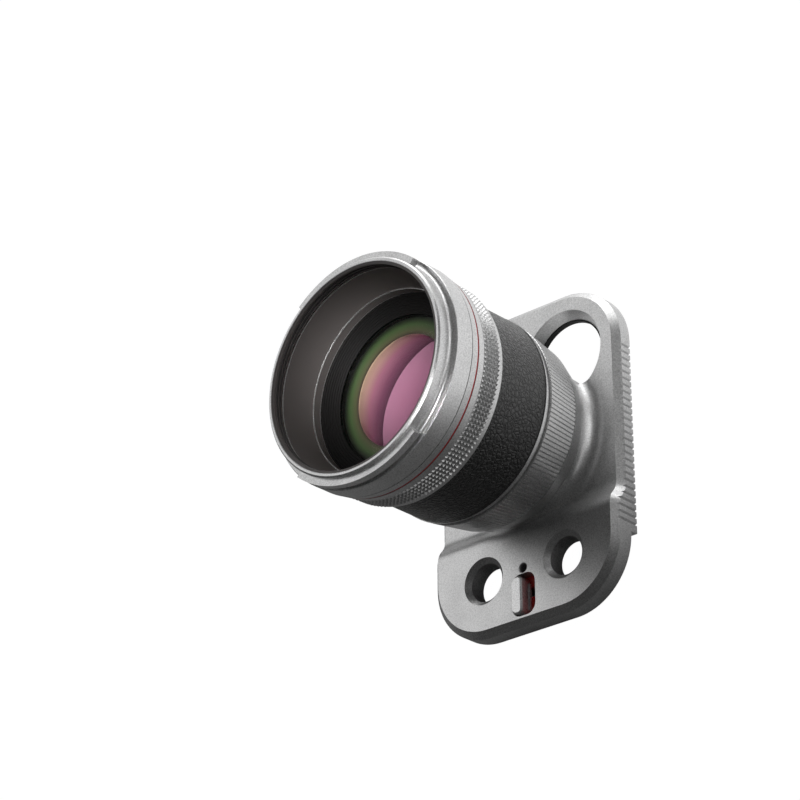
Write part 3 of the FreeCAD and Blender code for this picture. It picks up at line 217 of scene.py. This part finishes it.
def black_anodising(name, level=0.022, roughness=0.38):
    """Black with a slightly warm tinge, and pores too fine to see one by one."""
    black_metal = new_finish(name)
    pores = noise(black_metal, PORE_SCALE, 3.0, 0.6)
    feed(black_metal, "Base Color", mottled(black_metal, pores,
                                            (level * 0.8, level * 0.76, level * 0.75),
                                            (level * 1.3, level * 1.22, level * 1.2)))
    feed(black_metal, "Roughness",
         mottled(black_metal, pores, grey(roughness - 0.05), grey(roughness + 0.06)))
    bump(black_metal, pores, PORE_DEPTH, 0.5)
    return black_metal


black = black_anodising("black_anodising")
print("made", black.name)

# %% [markdown]
# ## The front ring and the main barrel: silver and black on one piece
# The front ring is one turned piece with two finishes. Outside it is blasted silver. Inside, behind
# the thin silver lip of the mouth, it is black, apart from three sharp edges, where thin silver
# bands are painted highlights for the light that the edges catch. The barrel under the leather is
# black with a bright collar. Splitting a piece would add an edge that isn't there. The finish
# instead chooses by distance from the axis and by height, both read from the surface's own place,
# and mixes the two sets of colour and gloss.

# %% Edges inside the mouth
mouth_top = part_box("front_ring")[1][2] / MM
LIP_RADIUS, LIP_HEIGHT = 21.87, 0.05
# Heights of the three inner edges where thin silver bands are painted highlights, in mm.
PAINTED_EDGE_HIGHLIGHTS = (mouth_top - 2.84, mouth_top - 9.74, mouth_top - 11.62)
HIGHLIGHT_WIDTH = 0.22
COLLAR_LOW, COLLAR_HIGH, COLLAR_RADIUS = 22.6, 24.35, 20.4
print("front ring top, mm:", round(mouth_top, 2),
      "bright edges:", [round(edge, 2) for edge in PAINTED_EDGE_HIGHLIGHTS])


# %% Where a finish starts and ends
def radius_and_height(material):
    """Distance from the optical axis and height above the plate's rear edge, in mm."""
    parts = add_node(material, "ShaderNodeSeparateXYZ")
    join(material, surface_place(material), parts.inputs["Vector"])
    x, y, z = parts.outputs
    square = maths(material, "MULTIPLY_ADD", y, y, maths(material, "MULTIPLY", x, x))
    radius = maths(material, "MULTIPLY", maths(material, "SQRT", square), 1 / MM)
    return radius, maths(material, "MULTIPLY", z, 1 / MM)


def within(material, amount, low, high):
    """1 where the amount lies between low and high, and 0 elsewhere."""
    return maths(material, "MULTIPLY", maths(material, "GREATER_THAN", amount, low),
                 maths(material, "LESS_THAN", amount, high))


def inside_the_mouth(material):
    radius, height = radius_and_height(material)
    inside = maths(material, "MULTIPLY", maths(material, "LESS_THAN", radius, LIP_RADIUS),
                   maths(material, "LESS_THAN", height, mouth_top - LIP_HEIGHT))
    # The three thin lines taken out of the black stay silver, as painted highlights on the inner
    # edges.
    bright = 0.0
    for edge in PAINTED_EDGE_HIGHLIGHTS:
        line = within(material, height, edge - HIGHLIGHT_WIDTH / 2, edge + HIGHLIGHT_WIDTH / 2)
        bright = maths(material, "ADD", bright, line)
    return maths(material, "SUBTRACT", inside, bright)


def away_from_the_collar(material):
    radius, height = radius_and_height(material)
    collar = maths(material, "MULTIPLY", within(material, height, COLLAR_LOW, COLLAR_HIGH),
                   maths(material, "GREATER_THAN", radius, COLLAR_RADIUS))
    return maths(material, "SUBTRACT", 1.0, collar)


# %% Two-finish metal
MIX_FIRST, MIX_SECOND, MIX_RESULT = 6, 7, 2  # the colour sockets of a Mix node
DARK_COLOUR, DARK_ROUGHNESS = (0.105, 0.094, 0.091), 0.42


def colour_mix(material, factor):
    mix = add_node(material, "ShaderNodeMix")
    mix.data_type = "RGBA"
    join(material, factor, mix.inputs["Factor"])
    return mix


def two_finishes(name, choose_black):
    """Blasted silver, and black where choose_black gives 1."""
    metal = blasted_metal(name)
    mask = choose_black(metal)
    for socket, dark in (("Base Color", DARK_COLOUR), ("Roughness", grey(DARK_ROUGHNESS)),
                         ("Metallic", grey(0.0))):
        blasted = principled(metal).inputs[socket]
        mix = colour_mix(metal, mask)
        if blasted.is_linked:
            join(metal, blasted.links[0].from_socket, mix.inputs[MIX_FIRST])
        else:
            mix.inputs[MIX_FIRST].default_value = (*grey(blasted.default_value), 1.0)
        mix.inputs[MIX_SECOND].default_value = (*dark, 1.0)
        feed(metal, socket, mix.outputs[MIX_RESULT])
    return metal


front_ring_finish = two_finishes("silver_outside_black_inside", inside_the_mouth)
barrel_finish = two_finishes("black_barrel_bright_collar", away_from_the_collar)
print("made", front_ring_finish.name, "and", barrel_finish.name)

# %% [markdown]
# ## Leather
# The grip round the barrel is black leather with a pebbled grain, glued on flat. The pebbles are
# about a millimetre across with creases between them. A displaced mesh would need hundreds of
# thousands of faces to show that. A bump is enough, because the grain is shallow against the
# barrel's size: cells give the pebbles, and noise shifts them about so that no two are alike. The
# pebbles' tops are rubbed smoother, so the roughness follows the same height. The creases are
# painted darker than the tops, as painted shade. A little sheen and a thin coat stand for the
# dressing on the hide.

# %% Leather
PEBBLE_SCALE, PEBBLE_SHIFT = 1050.0, 0.0009
CREASE_STEEPNESS, HIDE_GRAIN = 3.2, 0.30
PEBBLE_DEPTH = 0.24 * MM

leather = new_finish("pebbled_black_leather")
shift = add_node(leather, "ShaderNodeVectorMath")
shift.operation = "MULTIPLY_ADD"
shift.inputs[1].default_value = (PEBBLE_SHIFT, PEBBLE_SHIFT, PEBBLE_SHIFT)
join(leather, noise(leather, 700.0, 3.0, 0.6, output="Color"), shift.inputs[0])
join(leather, surface_place(leather), shift.inputs[2])
pebbles = add_node(leather, "ShaderNodeTexVoronoi", Scale=PEBBLE_SCALE, Randomness=1.0)
pebbles.feature = "DISTANCE_TO_EDGE"
join(leather, shift.outputs[0], pebbles.inputs["Vector"])
slope = maths(leather, "MULTIPLY", pebbles.outputs["Distance"], CREASE_STEEPNESS)
crown = maths(leather, "SQRT", maths(leather, "MINIMUM", slope, 1.0))
hide = maths(leather, "MULTIPLY_ADD", noise(leather, 5000.0, 2.0, 0.6), HIDE_GRAIN, crown)
# Painted shade: the colour is darker in the creases between the pebbles and lighter on their tops.
feed(leather, "Base Color",
     shades(leather, hide, (0.2, grey(0.002)), (1.0, (0.010, 0.0097, 0.0094))))
feed(leather, "Roughness", shades(leather, hide, (0.3, grey(0.62)), (1.0, grey(0.32))))
set_sockets(principled(leather), Specular_IOR_Level=0.5, Sheen_Weight=0.3, Sheen_Roughness=0.35,
            Coat_Weight=0.35, Coat_Roughness=0.35)
bump(leather, hide, PEBBLE_DEPTH)
print("made", leather.name)

# %% [markdown]
# ## Red marks
# A thin red ring sits in a groove of the tapered barrel, and a red plate shows in the slot beside
# the knob. One red for both would be simpler, but the ring is anodised, so it is partly a metal and
# takes on the light round it, and the plate is painted, so it is none. Both have a faint mottle.

# %% Red marks
RED_MOTTLE_SCALE = 3000.0
RED_MOTTLE_DEPTH = 0.006 * MM


def red_finish(name, dark, light, metallic, roughness):
    red = new_finish(name)
    set_sockets(principled(red), Metallic=metallic)
    mottle = noise(red, RED_MOTTLE_SCALE, 3.0, 0.6)
    feed(red, "Base Color", mottled(red, mottle, dark, light))
    feed(red, "Roughness", mottled(red, mottle, grey(roughness - 0.05), grey(roughness + 0.05)))
    bump(red, mottle, RED_MOTTLE_DEPTH, 0.4)
    return red


red_ring = red_finish("red_anodised_ring", (0.50, 0.028, 0.034), (0.78, 0.065, 0.07), 0.2, 0.35)
red_paint = red_finish("red_paint", (0.70, 0.016, 0.016), (0.85, 0.026, 0.024), 0.0, 0.45)
print("made", red_ring.name, "and", red_paint.name)

# %% [markdown]
# ## Rubber pad
# The pad behind the plate keeps the metal off the phone. It is a thin rubber sheet with a fine matt
# grain. Its faces could be roughened as a mesh, but the crumbs stand only a few hundredths of a
# millimetre proud, so noise in the bump is enough.

# %% Rubber pad
rubber = new_finish("matt_black_rubber")
crumbs = noise(rubber, 2600.0, 4.0, 0.7)
feed(rubber, "Base Color", mottled(rubber, crumbs, grey(0.010), grey(0.022)))
feed(rubber, "Roughness", mottled(rubber, crumbs, grey(0.75), grey(0.92)))
bump(rubber, crumbs, 0.05 * MM, 0.7)
print("made", rubber.name)

# %% [markdown]
# ## Steel
# The cover's screws, the leaf spring and the latch are bright steel, brushed one way. An
# anisotropic gloss would give the streak but no lines. Noise that is stretched along X gives both,
# because each line has its own colour and roughness.

# %% Steel
BRUSH_SCALE = (400.0, 9000.0, 9000.0)

steel = new_finish("brushed_steel")
set_sockets(principled(steel), Metallic=1.0)
brush = add_node(steel, "ShaderNodeMapping", Scale=BRUSH_SCALE)
join(steel, surface_place(steel), brush.inputs["Vector"])
lines = add_node(steel, "ShaderNodeTexNoise", Scale=1.0, Detail=3.0)
join(steel, brush.outputs["Vector"], lines.inputs["Vector"])
scratches = lines.outputs["Fac"]
feed(steel, "Base Color", mottled(steel, scratches, (0.42, 0.41, 0.40), (0.62, 0.61, 0.60)))
feed(steel, "Roughness", mottled(steel, scratches, grey(0.22), grey(0.36)))
bump(steel, scratches, 0.004 * MM, 0.5)
print("made", steel.name)

# %% [markdown]
# ## Coated glass
# What looks like a magenta pool behind a green rim is the coating on several lens faces. Real
# refraction through a solid that is only roughly the real lens would bend the picture wrongly, so
# the glasses are thin here: they let the view straight through with a tint and add a coloured gloss
# on top. The gloss is left off where a ray leaves the glass, because there the Fresnel node gives
# the total reflection of a real prism, and that would close the view at a slant. The wide bands of
# colour that the coatings throw on the cell behind are painted on the cell itself, as painted
# reflections.


# %% Thin coated glass
def coated_glass(name, tint, coating, share):
    """Glass that lets through a tint and mirrors a share of the light in the coating's colour."""
    glass = new_finish(name)
    glass.surface_render_method = "BLENDED"
    set_sockets(principled(glass), Base_Color=(*coating, 1.0), Roughness=0.04,
                Coat_Weight=0.5, Coat_Roughness=0.02)
    clear = add_node(glass, "ShaderNodeBsdfTransparent", Color=(*tint, 1.0))
    smear = noise(glass, 60.0)
    slant = add_node(glass, "ShaderNodeFresnel", IOR=1.45).outputs["Fac"]
    gloss = maths(glass, "MULTIPLY_ADD", smear, share * 0.3,
                  maths(glass, "MULTIPLY_ADD", slant, 0.8, share * 0.85))
    leaving = add_node(glass, "ShaderNodeNewGeometry").outputs["Backfacing"]
    gloss = maths(glass, "MULTIPLY", gloss, maths(glass, "SUBTRACT", 1.0, leaving))
    blend = add_node(glass, "ShaderNodeMixShader")
    join(glass, gloss, blend.inputs["Fac"])
    join(glass, clear.outputs["BSDF"], blend.inputs[1])
    join(glass, principled(glass).outputs["BSDF"], blend.inputs[2])
    output = glass.node_tree.nodes["Material Output"]
    join(glass, blend.outputs["Shader"], output.inputs["Surface"])
    return glass


front_coat = coated_glass("green_coated_front_glass",
                          (0.97, 0.96, 0.96), (0.010, 0.016, 0.010), 0.03)
middle_coat = coated_glass("magenta_coated_middle_glass",
                           (0.90, 0.60, 0.78), (0.46, 0.19, 0.30), 0.55)
rear_coat = coated_glass("violet_coated_rear_glass",
                         (0.75, 0.65, 0.85), (0.10, 0.05, 0.14), 0.25)
print("made", front_coat.name, middle_coat.name, rear_coat.name)

# %% [markdown]
# ## Arc on the middle glass
# The middle glass mirrors the iris ring as a thin light arc, and its magenta is deeper within the
# arc. A true mirror image would need the real lens design. So the arc and the deeper magenta within
# it are a painted reflection in the glass's colour, which follows the distance from the axis and
# puts the arc where it belongs.

# %% Arc on the middle glass
MIDDLE_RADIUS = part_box("middle_glass")[1][0] / MM
ARC_RADIUS = 6.4

radius, _ = radius_and_height(middle_coat)
outwards = maths(middle_coat, "DIVIDE", radius, MIDDLE_RADIUS)
arc = ARC_RADIUS / MIDDLE_RADIUS
# The light arc and the deeper magenta within it are a painted reflection of the iris ring.
coating_and_painted_arc = shades(middle_coat, outwards, (0.0, (0.20, 0.07, 0.15)),
                  (arc - 0.008, (0.28, 0.10, 0.21)), (arc, (0.85, 0.62, 0.76)),
                  (arc + 0.012, (0.40, 0.17, 0.28)), (0.9, (0.58, 0.28, 0.42)))
feed(middle_coat, "Base Color", coating_and_painted_arc)
print("middle glass radius, mm:", round(MIDDLE_RADIUS, 2))

# %% [markdown]
# ## Painted reflections and shade inside the lens cell
# Behind the front glass lies a narrow flat ring and a cone that opens towards the middle glass. The
# coatings' reflections are painted on both: a dark green on the ring, darkest at its outer edge,
# and cream that turns to pink in the cone. Further down the cone a painted shade deepens the pink
# to a deep plum and near black with depth.
# Painting these on a picture would tie them to one view. Here the cone's colours follow the height
# and the ring's the distance from the axis, so they stay in place from every side.

# %% Painted reflections and shade inside the lens cell
cell_low, cell_high = (corner[2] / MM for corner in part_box("lens_cell"))
RING_FLOOR = cell_high - 1.45
CONE_TOP, CONE_DEPTH = cell_high - 1.6, 12.0
RING_RADIUS, RING_WIDTH = 11.7, 3.7
print("lens cell from", round(cell_low, 2), "to", round(cell_high, 2), "mm")

cell_painted_reflections = new_finish("painted_coating_reflections_in_the_cell")
radius, height = radius_and_height(cell_painted_reflections)
depth = maths(cell_painted_reflections, "DIVIDE", maths(cell_painted_reflections, "SUBTRACT", CONE_TOP, height), CONE_DEPTH)
# Painted reflections of the coatings, cream to pink, and painted shade that darkens them to plum
# and near black with depth.
cone_reflections_and_depth_shade = shades(cell_painted_reflections, depth, (0.0, (0.78, 0.60, 0.40)), (0.18, (0.80, 0.55, 0.44)),
                      (0.42, (0.60, 0.27, 0.37)), (0.72, (0.24, 0.09, 0.16)),
                      (0.95, (0.09, 0.03, 0.06)))
across = maths(cell_painted_reflections, "DIVIDE", maths(cell_painted_reflections, "SUBTRACT", radius, RING_RADIUS), RING_WIDTH)
# Painted reflection of the green coating on the flat ring.
ring_painted_reflections = shades(cell_painted_reflections, across, (0.0, (0.045, 0.030, 0.022)),
                      (0.2, (0.080, 0.088, 0.042)), (0.55, (0.058, 0.104, 0.038)),
                      (0.85, (0.018, 0.026, 0.014)), (1.0, grey(0.005)))
choose = colour_mix(cell_painted_reflections, maths(cell_painted_reflections, "GREATER_THAN", height, RING_FLOOR))
join(cell_painted_reflections, cone_reflections_and_depth_shade, choose.inputs[MIX_FIRST])
join(cell_painted_reflections, ring_painted_reflections, choose.inputs[MIX_SECOND])
feed(cell_painted_reflections, "Base Color", choose.outputs[MIX_RESULT])
set_sockets(principled(cell_painted_reflections), Roughness=0.45)
print("made", cell_painted_reflections.name)

# %% [markdown]
# ## Ribbed retaining ring
# The ring that holds the front glass falls away to it in fine concentric ribs, painted dead black
# so that it throws no stray light. Ribs in the mesh would cost thousands of faces for lines that
# hardly show. A wave that runs outwards from the axis bends the surface a little instead.

# %% Ribbed retaining ring
RIB_PITCH = 0.5
RIB_DEPTH = 0.05 * MM

ribbed = black_anodising("ribbed_black", 0.008, 0.6)
set_sockets(principled(ribbed), Specular_IOR_Level=0.12)
radius, _ = radius_and_height(ribbed)
ribs = maths(ribbed, "SINE", maths(ribbed, "MULTIPLY", radius, 2 * math.pi / RIB_PITCH))
bump(ribbed, ribs, RIB_DEPTH, 0.8)
print("made", ribbed.name)

# %% [markdown]
# ## Filter thread
# The mouth has a fine thread for a filter, too fine for the solids. Stacked rings would look much
# the same from far away, but a thread has a start and an end. So it is one ridge wound in a helix
# against the bore, made as a mesh: a small section is carried round and back, and each step is
# joined to the last.

# %% Filter thread
THREAD_PITCH = 0.75
THREAD_LENGTH = 1.9
THREAD_TOP = mouth_top - 0.32
THREAD_BORE = 21.12
RIDGE_HEIGHT, RIDGE_FOOT, RIDGE_CREST = 0.16, 0.30, 0.04
STEPS_A_TURN, FADING_STEPS = 240, 20

steps = int((THREAD_LENGTH / THREAD_PITCH - 0.5) * STEPS_A_TURN)
ridge = bmesh.new()
previous = None
for step in range(steps + 1):
    angle = 2 * math.pi * step / STEPS_A_TURN
    fade = min(1.0, step / FADING_STEPS, (steps - step) / FADING_STEPS)
    middle = THREAD_TOP - THREAD_PITCH / 2 - THREAD_PITCH * step / STEPS_A_TURN
    crest = THREAD_BORE - RIDGE_HEIGHT * fade
    section = []
    for reach, rise in ((THREAD_BORE, RIDGE_FOOT), (crest, RIDGE_CREST),
                        (crest, -RIDGE_CREST), (THREAD_BORE, -RIDGE_FOOT)):
        place = Vector((reach * math.cos(angle), reach * math.sin(angle), middle + rise)) * MM
        section.append(ridge.verts.new(place))
    if previous:
        for i in range(len(section) - 1):
            ridge.faces.new((previous[i], previous[i + 1], section[i + 1], section[i]))
    previous = section
thread_mesh = bpy.data.meshes.new("filter_thread")
ridge.to_mesh(thread_mesh)
ridge.free()
print("filter thread:", len(thread_mesh.polygons), "faces")

# %% The thread's finish and body
thread_black = black_anodising("thread_black", 0.03, 0.6)
set_sockets(principled(thread_black), Specular_IOR_Level=0.2)
thread = bpy.data.objects.new("filter_thread", thread_mesh)
bpy.context.scene.collection.objects.link(thread)
thread.data.materials.append(thread_black)
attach(thread, "plate")
print("made", thread_black.name, "for the thread, which rides on the plate")

# %% [markdown]
# ## Dressing the pieces
# Every piece of the model gets its finish here. A finish could be set beside each recipe above, but
# one table shows at a glance which pieces share one, and the last line shows that none is left.

# %% Dressing the pieces
FINISHES = {
    silver: ("fluted_ring", "knurled_ring", "front_barrel"),
    plate_silver: ("adapter_plate", "socket_ring", "lens_mount"),
    front_ring_finish: ("front_ring",),
    barrel_finish: ("main_barrel",),
    bright_knob: ("lock_slider",),
    black: ("slider_cover", "stop_ring", "rear_retainer", "latch_screw"),
    ribbed: ("retaining_ring",),
    cell_painted_reflections: ("lens_cell",),
    leather: ("leather_sleeve",),
    red_ring: ("accent_ring",),
    red_paint: ("red_plate",),
    rubber: ("back_pad",),
    steel: ("latch_plate", "leaf_spring", "cover_screws"),
    front_coat: ("front_glass",),
    middle_coat: ("middle_glass",),
    rear_coat: ("rear_crown", "rear_flint"),
}
dressed = set()
for finish, names in FINISHES.items():
    for name in names:
        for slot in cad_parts[name].material_slots:
            slot.material = finish
        dressed.add(name)
print("dressed", len(dressed), "pieces, left:", sorted(set(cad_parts) - dressed))

# %% [markdown]
# ## Studio
# The photograph has a pure white background, with soft light from above and to the left of the
# picture, and little from below. A floor lit until it is white would throw that light on the lens.
# So the floor is white by itself, to the camera and through glass. Metal sees it white only towards
# +X and +Y, and fading to a dim grey on the other side, as over a backdrop lit from one side. Part
# of its camera colour is still a lit surface, so the lens keeps a soft shadow on it. The sky is
# white to the camera and through glass too, for a view from the side, and otherwise a dim grey,
# which keeps the metal's shaded faces dark.

# %% Floor
FLOOR_SIZE, FLOOR_DROP = 6.0, 0.0002
FLOOR_GREY, FLOOR_ROUGHNESS = (0.5, 0.5, 0.5, 1.0), 0.9
FLOOR_GLOW = 1.11
SHADOW_SHARE = 0.10
MIRROR_NONE, MIRROR_FULL = -0.02, 0.075  # X + Y, in metres, where metal sees none and all of it

half = FLOOR_SIZE / 2
corners = [(-half, -half, 0), (half, -half, 0), (half, half, 0), (-half, half, 0)]
floor_mesh = bpy.data.meshes.new("studio_floor")
floor_mesh.from_pydata(corners, [], [(0, 1, 2, 3)])
floor = bpy.data.objects.new("studio_floor", floor_mesh)
floor.location.z = -FLOOR_DROP
bpy.context.scene.collection.objects.link(floor)
print("floor:", FLOOR_SIZE, "m square")


# %% Floor paint
def seen_as_background(owner, light_path):
    """1 for a ray from the camera, straight or through glass."""
    return maths(owner, "MAXIMUM", light_path.outputs["Is Camera Ray"],
                 light_path.outputs["Is Transmission Ray"])


floor_paint = new_finish("floor_paint")
set_sockets(principled(floor_paint), Base_Color=FLOOR_GREY, Roughness=FLOOR_ROUGHNESS)
light_path = add_node(floor_paint, "ShaderNodeLightPath")
place = add_node(floor_paint, "ShaderNodeSeparateXYZ")
join(floor_paint, surface_place(floor_paint), place.inputs["Vector"])
lit_side = add_node(floor_paint, "ShaderNodeMapRange", From_Min=MIRROR_NONE, From_Max=MIRROR_FULL,
                    To_Min=0.0, To_Max=1.0)
lit_side.interpolation_type = "SMOOTHSTEP"
join(floor_paint, maths(floor_paint, "ADD", place.outputs["X"], place.outputs["Y"]),
     lit_side.inputs["Value"])
mirrored = maths(floor_paint, "MULTIPLY", light_path.outputs["Is Glossy Ray"],
                 lit_side.outputs["Result"])
share = maths(floor_paint, "MULTIPLY_ADD", seen_as_background(floor_paint, light_path),
              1.0 - SHADOW_SHARE, mirrored)
glow = add_node(floor_paint, "ShaderNodeEmission", Strength=FLOOR_GLOW)
blend = add_node(floor_paint, "ShaderNodeMixShader")
join(floor_paint, share, blend.inputs["Fac"])
join(floor_paint, principled(floor_paint).outputs["BSDF"], blend.inputs[1])
join(floor_paint, glow.outputs["Emission"], blend.inputs[2])
output = floor_paint.node_tree.nodes["Material Output"]
join(floor_paint, blend.outputs["Shader"], output.inputs["Surface"])
floor.data.materials.append(floor_paint)
print("made", floor_paint.name)

# %% World
SKY_WHITE, SKY_LIGHT = 1.0, 0.04

world = bpy.data.worlds.new("studio_world")
bpy.context.scene.world = world
world.use_nodes = True
sky = set_sockets(world.node_tree.nodes["Background"], Color=(1.0, 1.0, 1.0, 1.0))
sky_level = add_node(world, "ShaderNodeMapRange", To_Min=SKY_LIGHT, To_Max=SKY_WHITE)
join(world, seen_as_background(world, add_node(world, "ShaderNodeLightPath")),
     sky_level.inputs["Value"])
join(world, sky_level.outputs["Result"], sky.inputs["Strength"])
bpy.context.scene.view_settings.view_transform = "Standard"
print("sky: white to the camera,", SKY_LIGHT, "as a light")

# %% [markdown]
# ## Soft boxes
# The photograph's metal has a broad soft light on its upper left, a bright line along its upper
# edge and a weaker light on its right. A sun lamp would give hard shadows, and a bright sky would
# leave the metal flat, so area lamps stand where the soft boxes stood. Each is given the brightness
# that it has to look at, and its power follows from its size.

# %% Soft boxes
AIM_HEIGHT = 30 * MM


def soft_box(name, direction, distance, width, height, radiance):
    """An area lamp that shines on the lens from a direction in the frame."""
    lamp = bpy.data.lights.new(name, "AREA")
    lamp.shape = "RECTANGLE"
    lamp.size = width
    lamp.size_y = height
    lamp.energy = radiance * math.pi * width * height
    stand = bpy.data.objects.new(name, lamp)
    stand.location = Vector((0, 0, AIM_HEIGHT)) + direction.normalized() * distance
    stand.rotation_mode = "QUATERNION"
    stand.rotation_quaternion = direction.to_track_quat("Z", "Y")
    bpy.context.scene.collection.objects.link(stand)
    print(name, "of", round(lamp.energy, 2), "W")


soft_box("key_box", Vector((-0.70, 0.32, 0.64)), 0.8, 0.70, 0.70, radiance=1.05)
soft_box("edge_box", Vector((0.08, 0.97, 0.18)), 0.7, 0.80, 0.28, radiance=3.3)
soft_box("side_box", Vector((0.93, 0.30, 0.20)), 0.7, 0.45, 0.24, radiance=2.0)

# %% [markdown]
# ## Snoot
# The inside of the mouth is too deep for the soft boxes. A stronger soft box would light the whole
# lens. A photographer would aim a small lamp with a snoot into the mouth, from between the camera
# and the axis, so that only the mouth is lit and the barrel's side keeps its shade.

# %% Snoot
SNOOT_DISTANCE = 0.60
SNOOT_LIGHT = 2.4
SNOOT_CONE, SNOOT_BLEND, SNOOT_SIZE = 2.7, 0.35, 0.01
SNOOT_AIM = Vector((2.0, -1.4, 56.0)) * MM
SNOOT_RISE = Vector((0, 0, 0.32))

snoot_lamp = bpy.data.lights.new("mouth_snoot", "SPOT")
snoot_lamp.energy = SNOOT_LIGHT * 4 * math.pi**2 * SNOOT_DISTANCE**2
snoot_lamp.spot_size = math.radians(SNOOT_CONE)
snoot_lamp.spot_blend = SNOOT_BLEND
snoot_lamp.shadow_soft_size = SNOOT_SIZE
snoot = bpy.data.objects.new("mouth_snoot", snoot_lamp)
snoot_direction = (towards_camera + SNOOT_RISE).normalized()
snoot.location = SNOOT_AIM + snoot_direction * SNOOT_DISTANCE
snoot.rotation_mode = "QUATERNION"
snoot.rotation_quaternion = snoot_direction.to_track_quat("Z", "Y")
bpy.context.scene.collection.objects.link(snoot)
print("snoot of", round(snoot_lamp.energy, 2), "W")
